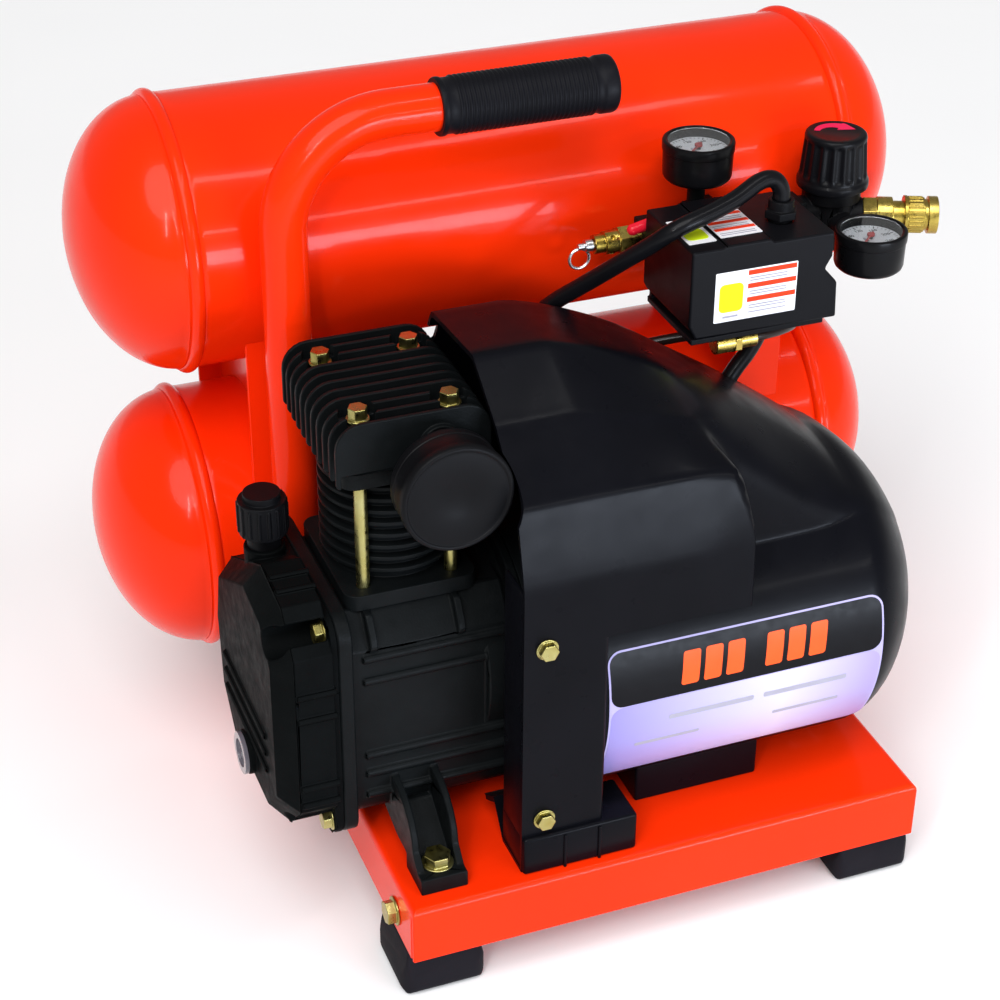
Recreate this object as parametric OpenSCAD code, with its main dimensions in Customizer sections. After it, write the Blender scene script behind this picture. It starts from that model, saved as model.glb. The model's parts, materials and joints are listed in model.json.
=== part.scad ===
// Twin stack air compressor: a direct-drive single-cylinder pump and its motor stand in front of
// two horizontal air tanks, one above the other, on a folded steel tray with four rubber feet.
// X runs along the tanks, the pump is at -X, the front is -Y and the ground is Z = 0.

/* [Tanks] */
// Outer radius of each air tank
tank_r = 76.2; // [74:0.1:77]
// Wall thickness of the tanks
tank_wall = 2.5; // [2:0.5:4]
// Length of each tank over its domed ends
tank_length = 492; // [488:1:500]
// Depth of one domed end, from the middle of its bead
dome_depth = 54; // [48:1:56]
// Height of the lower tank's axis above the ground
low_z = 156.5; // [155:0.5:158]
// Height of the upper tank's axis above the ground
up_z = 340; // [338:1:342]
// Distance of both tank axes behind the middle of the machine
tank_y = 101; // [101:1:102]

/* [Base tray] */
// Height of the tray's top face above the ground
tray_top = 64; // [64:1:64]
// Depth of the folded skirt
skirt_h = 35.4; // [32:0.1:38]
// Thickness of the tray's steel
tray_t = 2.5; // [2:0.5:3]

/* [Handle] */
// Outer diameter of the handle's tube
handle_d = 25.4; // [24:0.2:26]
// Radius of the handle's bend, at the tube's middle
handle_bend_r = 58; // [50:1:65]
// Height of the tube's horizontal run
handle_z = 429.5; // [428:0.5:431]
// Outer diameter of the grip
grip_d = 31; // [29:0.5:32]

/* [Pump] */
// Height of the crankshaft's axis
pump_z = 156; // [156:1:156]
// Distance of the crankshaft's axis in front of the middle
pump_y = -69; // [-70:1:-68]
// Bore radius of the cylinder
bore_r = 25; // [25:0.5:25.5]
// Throw of the crank, half the stroke
throw = 11; // [9:0.5:11]
// Length of the connecting rod between its centres
rod_length = 85; // [85:1:85]

/* [Shroud] */
// Radius of the shroud's barrel
shroud_r = 90; // [89:0.5:90]
// Wall thickness of the shroud
shroud_t = 3; // [2.5:0.5:3.5]
// Height of the shroud's hump above its axis
hump_h = 187; // [180:1:189]

/* [Controls] */
// Radius of the two pressure gauges
gauge_r = 20; // [18:0.5:20]
// Bore radius of the quick coupler's mouth
coupler_bore_r = 6; // [5:0.5:6]
// Turn of the coupler away from the X axis, in degrees
coupler_turn = -23; // [-25:1:-15]

/* [Hidden] */
$fn = 48;
overlap = 0.5;

// tray outline
tray_x0 = -148;
tray_x1 = 154;
tray_y0 = -180;
tray_y1 = 172;
fold_r = 4;
foot_x = [-128, 134];
foot_y = [-151, 143];
foot_half = 24;
foot_top_half = 20;
foot_h = 28.6;

// tank details
bead_r = 4;
bead_out = 79;
half_tank = tank_length / 2;
bead_x = half_tank - dome_depth;
barrel_half = bead_x - bead_r;

// handle
handle_x = -148.5;
handle_y = tank_y - tank_r - handle_d / 2 - 2;
handle_low_z = 112;
grip_x0 = -64;
grip_x1 = 35;

// pump, measured from the crankshaft's axis
cyl_x = -121;
deck_w = 56;
head_w0 = 140;
head_top_w = 169;
case_x0 = -160;
case_x1 = -84;
case_end_x = -72;
flange_x = -168;
cover_x = -203;
stud_dx = 24;
stud_dy = 31.5;
pin_r = 9;
shaft_r = 10;
motor_r = 68;
motor_x0 = -62;
motor_x1 = 100;

// shroud
shroud_y = -76;
shroud_z = 154;
shroud_x0 = -83;
shroud_x1 = 180;
dome_x0 = 126;
hump_x0 = -46;
front_d = 94;

// controls
man_y = 3;
man_z = 340;
gauge1_x = 85;
gauge2_x = 167;
gauge2_y = -49;
reg_x = 170;
gauge1_z = 392;
gauge2_z = 348;
coupler_z = 336;
switch_x0 = 47;
switch_x1 = 132;
switch_y0 = -74;
switch_y1 = -14;
switch_z0 = 314;
switch_z1 = 365;

red_paint = [0.93, 0.16, 0.02];
cast_black = [0.10, 0.11, 0.11];
plastic_black = [0.09, 0.09, 0.10];
zinc = [0.72, 0.62, 0.30];
brass = [0.75, 0.60, 0.22];
steel = [0.62, 0.63, 0.65];

// ---------- helpers ----------

// a cylinder along X from x0 to x1
module bar_x(x0, x1, r) {
  translate([x0, 0, 0]) rotate([0, 90, 0]) cylinder(h = x1 - x0, r = r);
}

// a cylinder along Y from y0 to y1
module bar_y(y0, y1, r) {
  translate([0, y1, 0]) rotate([90, 0, 0]) cylinder(h = y1 - y0, r = r);
}

// a cylinder along Z from z0 to z1
module bar_z(z0, z1, r) {
  translate([0, 0, z0]) cylinder(h = z1 - z0, r = r);
}

module ring_x(x0, x1, r_out, r_in) {
  difference() {
    bar_x(x0, x1, r_out);
    bar_x(x0 - 1, x1 + 1, r_in);
  }
}

// a box given by its lowest and highest corners
module block(low, high) {
  translate(low) cube(high - low);
}

// a hexagon head with its washer, seated at the origin and rising along Z
module hex_head(across, height) {
  cylinder(h = 1.2, r = across * 0.68);
  translate([0, 0, 1.2]) cylinder(h = height, r = across / 2 / cos(30), $fn = 6);
}

// an outline turned so that its first axis is X and its second is Z, extruded along Y
module extrude_y(y0, y1) {
  translate([0, y1, 0]) rotate([90, 0, 0]) linear_extrude(height = y1 - y0) children();
}

// an outline turned so that its first axis is Y and its second is Z, extruded along X
module extrude_x(x0, x1) {
  translate([x0, 0, 0]) rotate([90, 0, 90]) linear_extrude(height = x1 - x0) children();
}

function arc(cx, cy, r, a0, a1, n = 5) =
  [for (i = [0:n]) [cx + r * cos(a0 + (a1 - a0) * i / n), cy + r * sin(a0 + (a1 - a0) * i / n)]];

// outline of a rectangle with round corners, from (x0, y0) to (x1, y1)
function round_box(x0, y0, x1, y1, r) = concat(
  arc(x1 - r, y1 - r, r, 0, 90),
  arc(x0 + r, y1 - r, r, 90, 180),
  arc(x0 + r, y0 + r, r, 180, 270),
  arc(x1 - r, y0 + r, r, 270, 360)
);

function unit(v) = v / norm(v);

// points of a smooth curve through hand-set route points
function spline_point(p, i, t) =
  let (
    n = len(p),
    a = p[max(i - 1, 0)],
    b = p[i],
    c = p[min(i + 1, n - 1)],
    d = p[min(i + 2, n - 1)]
  )
  0.5 * (2 * b + (c - a) * t + (2 * a - 5 * b + 4 * c - d) * t * t
    + (3 * b - a - 3 * c + d) * t * t * t);

function smooth_route(p, steps) = concat(
  [for (i = [0:len(p) - 2]) for (s = [0:steps - 1]) spline_point(p, i, s / steps)],
  [p[len(p) - 1]]
);

// a round tube of the given sides swept along points
module sweep_tube(path, r, sides = 10) {
  n = len(path);
  tangent = [for (i = [0:n - 1]) unit(path[min(i + 1, n - 1)] - path[max(i - 1, 0)])];
  side = [for (i = [0:n - 1]) unit(cross(tangent[i], abs(tangent[i].z) < 0.9 ? [0, 0, 1] : [0, 1, 0]))];
  points = [for (i = [0:n - 1]) for (k = [0:sides - 1])
    let (a = 360 * k / sides, up = cross(side[i], tangent[i]))
    path[i] + r * (cos(a) * side[i] + sin(a) * up)];
  walls = [for (i = [0:n - 2]) for (k = [0:sides - 1])
    let (j = (k + 1) % sides)
    [i * sides + k, i * sides + j, (i + 1) * sides + j, (i + 1) * sides + k]];
  first = [for (k = [sides - 1:-1:0]) k];
  last = [for (k = [0:sides - 1]) (n - 1) * sides + k];
  polyhedron(points = points, faces = concat(walls, [first], [last]), convexity = 6);
}

// ---------- base ----------

module tray_solid(inset, low) {
  intersection() {
    extrude_y(tray_y0 + inset, tray_y1 - inset)
      polygon(concat(
        arc(tray_x1 - fold_r, tray_top - fold_r, fold_r - inset, 0, 90, 6),
        arc(tray_x0 + fold_r, tray_top - fold_r, fold_r - inset, 90, 180, 6),
        [[tray_x0 + inset, low], [tray_x1 - inset, low]]
      ));
    extrude_x(tray_x0 + inset, tray_x1 - inset)
      polygon(concat(
        arc(tray_y1 - fold_r, tray_top - fold_r, fold_r - inset, 0, 90, 6),
        arc(tray_y0 + fold_r, tray_top - fold_r, fold_r - inset, 90, 180, 6),
        [[tray_y0 + inset, low], [tray_y1 - inset, low]]
      ));
  }
}

pump_foot_y = [-157, 19];
pump_foot_x = -126;
motor_foot_x = [12, 58];
motor_foot_y = [-98, -52];

module base_tray() {
  color(red_paint)
  difference() {
    tray_solid(0, tray_top - skirt_h);
    tray_solid(tray_t, tray_top - skirt_h - 1);
    // slits where the skirts meet at the corners
    for (x = [tray_x0 - 1, tray_x1 - tray_t - 1])
      for (y = [tray_y0 + tray_t, tray_y1 - tray_t - 1])
        block([x, y, tray_top - skirt_h - 1], [x + tray_t + 2, y + 1, tray_top - fold_r]);
    for (y = pump_foot_y)
      translate([pump_foot_x, y, 0]) bar_z(tray_top - 10, tray_top + 1, 4.2);
    for (x = motor_foot_x) for (y = motor_foot_y)
      translate([x, y, 0]) bar_z(tray_top - 10, tray_top + 1, 3.3);
    for (y = foot_y) translate([0, y, 42]) {
      bar_x(tray_x0 - 1, tray_x0 + tray_t + 1, 4.2);
      bar_x(tray_x1 - tray_t - 1, tray_x1 + 1, 4.2);
    }
  }
}

// one square foot, wider at the ground, centred on the Z axis
module foot() {
  side = [[-foot_half + 3, 0], [foot_half - 3, 0], [foot_half, 3], [foot_half, 12],
    [foot_top_half, foot_h], [-foot_top_half, foot_h], [-foot_half, 12], [-foot_half, 3]];
  intersection() {
    extrude_y(-foot_half - 1, foot_half + 1) polygon(side);
    extrude_x(-foot_half - 1, foot_half + 1) polygon(side);
    linear_extrude(height = foot_h) polygon(round_box(-foot_half, -foot_half, foot_half, foot_half, 8));
  }
  block([-17, -17, foot_h - 1], [17, 17, 47]);
}

module rubber_feet() {
  color([0.06, 0.06, 0.07])
  for (x = foot_x) for (y = foot_y)
    translate([x, y, 0])
    difference() {
      foot();
      translate([0, 0, 42]) bar_x(-18, 18, 4.2);
    }
}

// zinc bolts that hold the feet, the pump and the motor foot
module base_bolts() {
  color(zinc) {
    for (y = foot_y) {
      translate([tray_x0, y, 42]) {
        rotate([0, -90, 0]) hex_head(12, 5);
        bar_x(-overlap, 30, 4);
      }
      translate([tray_x1, y, 42]) {
        rotate([0, 90, 0]) hex_head(12, 5);
        bar_x(-30, overlap, 4);
      }
    }
    for (y = pump_foot_y) translate([pump_foot_x, y, tray_top + 10]) {
      hex_head(13, 5.5);
      bar_z(-22, overlap, 4);
      translate([0, 0, -10 - tray_t - 6]) cylinder(h = 6, r = 7.4, $fn = 6);
    }
    for (x = motor_foot_x) for (y = motor_foot_y) translate([x, y, tray_top + 3]) {
      hex_head(10, 4);
      bar_z(-13, overlap, 3);
      translate([0, 0, -3 - tray_t - 5]) cylinder(h = 5, r = 5.7, $fn = 6);
    }
  }
}

// ---------- tanks and handle ----------

dome_steps = 20;

function dome_outline(r, depth) = [for (i = [0:dome_steps])
  let (a = 90 * i / dome_steps)
  [r * cos(a), bead_x + depth * sin(a)]];

module tank_barrel(z) {
  translate([0, tank_y, z])
    ring_x(-barrel_half, barrel_half, tank_r, tank_r - tank_wall);
}

// one domed end, turned so that its dome points along Z
module tank_end() {
  rotate_extrude(convexity = 4)
    difference() {
      union() {
        polygon(concat([[0, barrel_half], [tank_r, barrel_half]], dome_outline(tank_r, dome_depth)));
        polygon(concat([[tank_r - 4, bead_x - bead_r]],
          arc(bead_out - bead_r, bead_x, bead_r, -90, 90, 8), [[tank_r - 4, bead_x + bead_r]]));
      }
      polygon(concat([[0, barrel_half - 1], [tank_r - tank_wall, barrel_half - 1]],
        dome_outline(tank_r - tank_wall, dome_depth - tank_wall)));
    }
}

module tank_ends(z) {
  translate([0, tank_y, z]) {
    rotate([0, 90, 0]) tank_end();
    rotate([0, -90, 0]) tank_end();
  }
}

module lower_tank_barrel() {
  color(red_paint) tank_barrel(low_z);
}

module lower_tank_ends() {
  color(red_paint) tank_ends(low_z);
}

module upper_tank_barrel() {
  color(red_paint) tank_barrel(up_z);
}

module upper_tank_ends() {
  color(red_paint) tank_ends(up_z);
}

cradle_x = 110;
strap_x = 150;
plate_half = 15;
plate_t = 3;

// folded channels that carry the lower tank on the tray and the upper tank on the lower one
module tank_brackets() {
  color(red_paint)
  difference() {
    union() {
      for (x = [-cradle_x, cradle_x]) difference() {
        block([x - plate_half, tank_y - 55, tray_top], [x + plate_half, tank_y + 55, 110]);
        block([x - plate_half + plate_t, tank_y - 52, tray_top + plate_t],
          [x + plate_half - plate_t, tank_y + 52, 111]);
      }
      for (x = [-strap_x, strap_x]) difference() {
        block([x - plate_half, tank_y - 62, 185], [x + plate_half, tank_y + 62, 312]);
        block([x - plate_half - 1, tank_y - 62 + plate_t, 184],
          [x - plate_t / 2, tank_y + 62 - plate_t, 313]);
        block([x + plate_t / 2, tank_y - 62 + plate_t, 184],
          [x + plate_half + 1, tank_y + 62 - plate_t, 313]);
      }
    }
    for (z = [low_z, up_z])
      translate([0, tank_y, z]) bar_x(-half_tank, half_tank, tank_r);
  }
}

balance_x = 60;
balance_dy = 55;

// pipe with two union nuts that joins the tanks behind
module balance_pipe() {
  color(steel)
  difference() {
    translate([balance_x, tank_y + balance_dy, 0]) {
      bar_z(195, 305, 6);
      translate([0, 0, 214]) cylinder(h = 10, r = 11, $fn = 6);
      translate([0, 0, 272]) cylinder(h = 10, r = 11, $fn = 6);
    }
    translate([balance_x, tank_y + balance_dy, 0]) bar_z(194, 306, 4);
    for (z = [low_z, up_z])
      translate([0, tank_y, z]) bar_x(-half_tank, half_tank, tank_r);
  }
}

// the bent run of the handle, at radius r about its centre line
module handle_run(r, low, far_x) {
  translate([handle_x, handle_y, 0]) bar_z(low, handle_z - handle_bend_r, r);
  translate([handle_x + handle_bend_r, handle_y, handle_z - handle_bend_r])
    rotate([90, 0, 0])
    rotate_extrude(angle = 90, start = 90) translate([handle_bend_r, 0]) circle(r = r);
  translate([0, handle_y, handle_z]) bar_x(handle_x + handle_bend_r, far_x, r);
}

module handle_tube() {
  color(red_paint)
  difference() {
    union() {
      handle_run(handle_d / 2, handle_low_z, grip_x1 - 5);
      // weld pads on the fronts of the tanks
      for (z = [low_z, up_z])
        block([handle_x - 4, handle_y + 10, z - 14], [handle_x + 4, tank_y - tank_r + 0.6, z + 14]);
    }
    handle_run(handle_d / 2 - 2, handle_low_z + 3, grip_x1 - 8);
    for (z = [low_z, up_z])
      translate([0, tank_y, z]) bar_x(-half_tank, half_tank, tank_r);
  }
}

grip_ribs = 30;

module handle_grip() {
  color(plastic_black)
  translate([0, handle_y, handle_z])
  difference() {
    union() {
      bar_x(grip_x0, grip_x1, grip_d / 2 - 0.8);
      bar_x(grip_x0, grip_x0 + 3, grip_d / 2);
      bar_x(grip_x1 - 9, grip_x1 - 1, grip_d / 2);
      for (i = [0:grip_ribs - 1])
        bar_x(grip_x0 + 9 + i * 2.6, grip_x0 + 10.3 + i * 2.6, grip_d / 2);
    }
    bar_x(grip_x0 - 1, grip_x1 - 5, handle_d / 2);
  }
}

// ---------- pump ----------

// children are placed in the pump's own frame: the crankshaft's axis is the X axis
module pump_frame() {
  translate([0, pump_y, pump_z]) children();
}

function flange_outline() = round_box(-60, -77, 60, 63, 14);

// rounded octagon of the end cover, seen along X
function cover_outline(grow = 0) =
  [for (p = [[-64, -48], [-40, -72], [38, -72], [62, -46], [66, 4], [56, 40], [-10, 75], [-46, 71],
    [-65, 50]]) p * (1 + grow / 66)];

module stud_positions() {
  for (dx = [-stud_dx, stud_dx]) for (dy = [-stud_dy, stud_dy])
    translate([cyl_x + dx, dy, 0]) children();
}

rib_r = 2.4;
cover_bolt_at = [[-50, 54], [-50, -67], [50, 54], [50, -67]];
sight_y = -4;
sight_w = -47;

module pump_foot(side) {
  mirror([0, side, 0]) {
    block([-139, -100, -92], [-113, -74, -82]);
    for (x = [-139, -117])
      extrude_x(x, x + 4)
        polygon(concat([[-30, -74], [-30, -60], [-51, -46]],
          [for (i = [0:5]) [-52 - 34 * sin(18 * i), -46 - 28 * (1 - cos(18 * i))]],
          [[-94, -82], [-60, -82]]));
    extrude_x(-137, -115)
      polygon([[-30, -76], [-30, -66], [-54, -64], [-80, -82], [-62, -82]]);
  }
}

module crankcase() {
  color(cast_black)
  pump_frame()
  difference() {
    union() {
      // main body with sloped shoulders up to the cylinder deck
      extrude_x(case_x0, case_end_x)
        polygon(concat(
          arc(-38, -58, 14, 180, 270, 4), arc(38, -58, 14, 270, 360, 4),
          [[52, 38], [44, 50], [38, deck_w], [-38, deck_w], [-44, 50], [-52, 38]]));
      extrude_x(flange_x, case_x0) polygon(flange_outline());
      // gussets under the cylinder flange
      for (x = [-149, -101])
        extrude_x(x, x + 4) polygon([[-55, 40], [-50, 34], [-30, 34], [-30, deck_w], [-46, deck_w], [-53, 46]]);
      // long ribs on the front and the back
      for (side = [-1, 1]) for (w = [33, 19, -29, -41, -55])
        translate([0, side * 52, w]) bar_x(-153, case_end_x - 1, rib_r);
      pump_foot(0);
      pump_foot(1);
      // round neck and flange that carry the motor
      bar_x(case_x1 - 1, motor_x0, 58);
      bar_x(motor_x0 - 5, motor_x0, motor_r);
    }
    // crank chamber
    extrude_x(flange_x - 1, case_x1 - 14)
      polygon(round_box(-46, -64, 46, 44, 10));
    translate([cyl_x, 0, 0]) bar_z(40, deck_w + 1, bore_r + 1);
    bar_x(case_x1 - 15, motor_x0 + 1, 14);
    bar_x(case_x1 - 13, case_x1 + 1, 21);
    bar_x(case_x1 + 1, motor_x0 + 1, 52);
    for (dy = [-1, 1])
      translate([-126, dy * 88, 0]) bar_z(-93, -81, 4.2);
    stud_positions() bar_z(deck_w - 14, deck_w + 1, 3.6);
    for (p = cover_bolt_at)
      translate([0, p.x, p.y]) bar_x(flange_x - 1, case_x0 - 2, 3.3);
  }
}

module crankcase_cover() {
  color(cast_black)
  pump_frame()
  difference() {
    union() {
      extrude_x(flange_x - 5, flange_x) polygon(flange_outline());
      extrude_x(cover_x + 10, flange_x - 4) polygon(cover_outline());
      // chamfered end
      hull() {
        extrude_x(cover_x, cover_x + 1) polygon(cover_outline(-10));
        extrude_x(cover_x + 10, cover_x + 11) polygon(cover_outline(-0.5));
      }
      // ribs along the front and the back, in line with those of the crankcase
      for (w = [27, 12, -32, -43]) {
        translate([0, -64.6, w]) bar_x(cover_x + 11, flange_x - 3, 1.9);
        translate([0, w > 0 ? 64 - w * 0.25 : 66 + w * 0.1, w]) bar_x(cover_x + 11, flange_x - 3, 1.9);
      }
      for (p = [[-54, -57], [-34, 72], [-22, 73.5]])
        translate([0, p.x, p.y]) bar_x(cover_x + 11, flange_x - 3, 1.9);
      // ribs across the end face
      for (w = [-12, -23, -34])
        translate([cover_x, 0, w]) bar_y(-40, 42, 2);
      // boss for the breather
      translate([-183, 20, 0]) bar_z(40, 68, 11);
      // boss of the sight glass
      translate([0, sight_y, sight_w]) bar_x(cover_x - 4, cover_x + 14, 12.5);
    }
    // inside, with walls left round the channels of the bolts
    difference() {
      extrude_x(cover_x + 12, flange_x + 1) polygon(cover_outline(-9));
      for (p = cover_bolt_at)
        translate([0, p.x, p.y]) bar_x(cover_x, flange_x + 2, 11.5);
    }
    // channels that give the bolt heads room
    for (p = cover_bolt_at)
      translate([0, p.x, p.y]) {
        bar_x(cover_x - 1, flange_x - 4.5, 8.5);
        rotate([atan2(p.y, p.x), 0, 0]) block([cover_x - 2, 0, -6], [flange_x - 5.5, 30, 6]);
        bar_x(flange_x - 6, flange_x + 1, 3.3);
      }
    translate([-183, 20, 0]) bar_z(39, 69, 7);
    translate([0, sight_y, sight_w]) bar_x(cover_x - 5, cover_x + 15, 9);
  }
}

module cover_bolts() {
  color(zinc)
  pump_frame()
  for (p = cover_bolt_at)
    translate([flange_x - 4.5, p.x, p.y]) {
      rotate([0, -90, 0]) hex_head(10, 4.5);
      bar_x(-overlap, 10, 3);
    }
}

module sight_glass() {
  color([0.75, 0.72, 0.62])
  pump_frame()
  translate([0, sight_y, sight_w]) {
    bar_x(cover_x - 5, cover_x + 12, 8.95);
    ring_x(cover_x - 6.5, cover_x - 4, 12, 8);
  }
}

module oil_breather() {
  color(plastic_black)
  pump_frame()
  translate([-183, 20, 0]) {
    bar_z(52, 69, 6.95);
    bar_z(68, 82, 9);
    bar_z(76, 96, 13);
    bar_z(95, 100, 10);
    for (i = [0:15])
      rotate([0, 0, i * 22.5]) translate([13, 0, 0]) bar_z(78, 94, 0.9);
  }
}

module bearing(x0, x1, r_out) {
  ring_x(x0, x1, r_out, r_out - 3);
  ring_x(x0, x1, shaft_r + 3, shaft_r + 0.05);
  ring_x(x0 + 2, x0 + 4, r_out - 2, shaft_r + 2);
}

bell_x = 100;

module shaft_bearings() {
  color(steel)
  pump_frame() {
    bearing(case_x1 - 13, case_x1 - 1, 21);
    bearing(bell_x + 1, bell_x + 12, 17);
  }
}

// crank web, pin, long shaft and its threaded nose
module crankshaft() {
  color(steel)
  pump_frame() {
    difference() {
      union() {
        bar_x(-112, -104, 29);
        translate([0, 0, -throw]) bar_x(-112, -104, 18);
      }
      // the web is cut away beside the pin, which leaves the counterweight above
      for (side = [-1, 1])
        block([-113, side > 0 ? 19 : -40, -40], [-103, side > 0 ? 40 : -19, -6]);
    }
    translate([0, 0, -throw]) bar_x(-130, -111, pin_r);
    bar_x(-105, 112, shaft_r);
    bar_x(111, 138, 8);
  }
}

module connecting_rod() {
  color([0.74, 0.75, 0.76])
  pump_frame()
  translate([cyl_x, 0, -throw])
  difference() {
    union() {
      bar_x(-7, 7, 16);
      translate([0, 0, rod_length]) bar_x(-7, 7, 8.5);
      block([-3, -6.5, 12], [3, 6.5, rod_length - 4]);
      block([-5, -6.5, 12], [5, -4.5, rod_length - 5]);
      block([-5, 4.5, 12], [5, 6.5, rod_length - 5]);
    }
    bar_x(-8, 8, pin_r + 0.05);
    translate([0, 0, rod_length]) bar_x(-8, 8, 5);
  }
}

module wrist_pin() {
  color(steel)
  pump_frame()
  translate([cyl_x, 0, rod_length - throw])
    ring_x(-8, 8, 5, 2.5);
}

piston_low = 68;
piston_top = 113;
ring_w = [105, 109];

module piston() {
  color([0.78, 0.78, 0.79])
  pump_frame()
  translate([cyl_x, 0, 0])
  difference() {
    bar_z(piston_low, piston_top, bore_r - 0.07);
    bar_z(piston_low - 1, piston_top - 7, bore_r - 3);
    for (w = ring_w) difference() {
      bar_z(w, w + 1.6, bore_r + 1);
      bar_z(w - 1, w + 3, bore_r - 2.5);
    }
  }
}

module piston_rings() {
  color([0.35, 0.35, 0.36])
  pump_frame()
  translate([cyl_x, 0, 0])
  for (w = ring_w) difference() {
    bar_z(w, w + 1.6, bore_r - 0.03);
    bar_z(w - 1, w + 3, bore_r - 2.5);
  }
}

cyl_top_w = 136;

module cylinder_barrel() {
  color(cast_black)
  pump_frame()
  difference() {
    union() {
      translate([cyl_x, 0, 0]) {
        bar_z(deck_w, cyl_top_w, 31);
        for (i = [0:7]) bar_z(71 + i * 7, 73.4 + i * 7, 36);
      }
      translate([cyl_x, 0, deck_w]) linear_extrude(height = 9)
        polygon(round_box(-36, -42, 36, 42, 8));
      translate([cyl_x, 0, cyl_top_w - 7]) linear_extrude(height = 7)
        polygon(round_box(-36, -43, 36, 43, 8));
    }
    translate([cyl_x, 0, 0]) bar_z(deck_w - 1, cyl_top_w + 1, bore_r);
    stud_positions() bar_z(deck_w - 1, cyl_top_w + 1, 3.6);
  }
}

module valve_plate() {
  color(steel)
  pump_frame()
  difference() {
    translate([cyl_x, 0, cyl_top_w]) linear_extrude(height = head_w0 - cyl_top_w)
      polygon(round_box(-37, -44, 37, 44, 8));
    stud_positions() bar_z(cyl_top_w - 1, head_w0 + 1, 3.6);
    for (dy = [-12, 12]) for (dx = [-5, 5])
      translate([cyl_x + dx, dy, 0]) bar_z(cyl_top_w - 1, head_w0 + 1, 3);
  }
}

// suction reed below the plate and discharge reed above it
module reed_valves() {
  color([0.55, 0.58, 0.62])
  pump_frame() {
    translate([cyl_x, 0, 0]) {
      block([-9, -18, cyl_top_w - 0.5], [9, -6, cyl_top_w]);
      block([-9, 6, head_w0], [9, 18, head_w0 + 0.5]);
    }
  }
}

head_fins = 11;
fin_pitch = 9.2;

module cylinder_head() {
  color(cast_black)
  pump_frame()
  difference() {
    union() {
      translate([cyl_x, 0, head_w0]) linear_extrude(height = 8)
        polygon(round_box(-39, -47, 39, 47, 12));
      translate([cyl_x, 0, head_w0]) linear_extrude(height = 17)
        polygon(round_box(-34, -42, 34, 42, 10));
      // fins along X that wrap down over both ends
      for (i = [0:head_fins - 1])
        let (dy = (i - (head_fins - 1) / 2) * fin_pitch, reach = 42 - 0.0006 * dy * dy)
        extrude_y(dy - 1.3, dy + 1.3)
          polygon(concat(
            arc(cyl_x + reach - 14, head_top_w - 14, 14, 0, 90, 6),
            arc(cyl_x - reach + 14, head_top_w - 14, 14, 90, 180, 6),
            [[cyl_x - reach, head_w0 - 4], [cyl_x - reach + 1, head_w0 - 6],
             [cyl_x - 38, head_w0 - 6], [cyl_x - 38, head_w0 + 1],
             [cyl_x + 38, head_w0 + 1], [cyl_x + 38, head_w0 - 6],
             [cyl_x + reach - 1, head_w0 - 6], [cyl_x + reach, head_w0 - 4]]));
      // port bosses in front and behind
      translate([-108, 0, 151]) bar_y(-50, -40, 10.5);
      translate([-104, 0, 151]) bar_y(40, 50, 9);
    }
    // pockets over the bolts
    stud_positions() bar_z(head_top_w - 6, head_top_w + 3, 9.5);
    stud_positions() bar_z(head_w0 - 1, head_top_w + 1, 3.6);
    // suction and discharge chambers
    block([cyl_x - 14, -30, head_w0 - 1], [cyl_x + 18, -4, head_w0 + 13]);
    block([cyl_x - 14, 4, head_w0 - 1], [cyl_x + 18, 30, head_w0 + 13]);
    translate([-108, 0, 151]) bar_y(-51, -29, 9);
    translate([-104, 0, 151]) bar_y(29, 51, 5);
  }
}

// long studs through the head and cylinder into the crankcase, with their nuts
module head_bolts() {
  color(zinc)
  pump_frame()
  stud_positions() {
    bar_z(deck_w - 13, head_top_w - 2, 3.5);
    translate([0, 0, head_top_w - 6]) hex_head(9, 6);
  }
}

filter_x = -109.5;
filter_w = 136.5;
filter_r = 29.3;

module filter_housing() {
  color(plastic_black)
  pump_frame() {
    translate([filter_x, 0, filter_w])
    difference() {
      union() {
        bar_y(-78, -54, filter_r - 0.8);
        bar_y(-80, -74, filter_r);
        bar_y(-56, -52, filter_r - 4);
      }
      bar_y(-77, -57, filter_r - 3.3);
      translate([-108 - filter_x, 0, 151 - filter_w]) bar_y(-58, -51, 7);
    }
    translate([-108, 0, 151])
    difference() {
      bar_y(-52, -34, 8.9);
      bar_y(-53, -33, 7);
    }
  }
}

module filter_element() {
  color([0.80, 0.78, 0.70])
  pump_frame()
  translate([filter_x, 0, filter_w])
  difference() {
    bar_y(-76.5, -57.2, filter_r - 4.5);
    bar_y(-72, -56, filter_r - 13);
  }
}

check_angle = 40;
check_x = -104;
check_low = tank_r - 1;

// children are placed on the lower tank's surface at the check valve, rising along Z
module check_frame() {
  translate([check_x, tank_y, low_z]) rotate([90 - check_angle, 0, 0]) translate([0, 0, tank_r]) children();
}

module check_valve() {
  color(brass)
  difference() {
    union() {
      check_frame() {
        bar_z(-1.5, 9, 8);
        translate([0, 0, 8]) cylinder(h = 12, r = 11.5, $fn = 6);
        bar_z(19, 27, 8.5);
        translate([0, 0, 26]) cylinder(h = 8, r = 8.5, $fn = 6);
      }
      // side port for the unloader tube
      check_frame() translate([0, 0, 14]) bar_x(5, 18, 4.5);
      // elbow on the back of the head
      pump_frame() translate([check_x, 0, 151]) bar_y(50, 60, 8);
    }
    translate([0, tank_y, low_z]) bar_x(-half_tank, half_tank, tank_r);
    check_frame() bar_z(-3, 35, 5.05);
    check_frame() translate([0, 0, 14]) bar_x(4, 19, 3.05);
    pump_frame() translate([check_x, 0, 151]) bar_y(49, 61, 5.05);
  }
}

discharge_route = [
  [-104, -15, 307], [-104, -6, 307], [-104, 0, 305], [-104, 4, 299], [-104, 5.5, 290],
  [-104, 6, 275], [-104, 6, 260], [-104, 6.8, 248], [-104, 9, 239], [-104, 13.7, 231.3],
  [-104, 17, 227]
];

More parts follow.
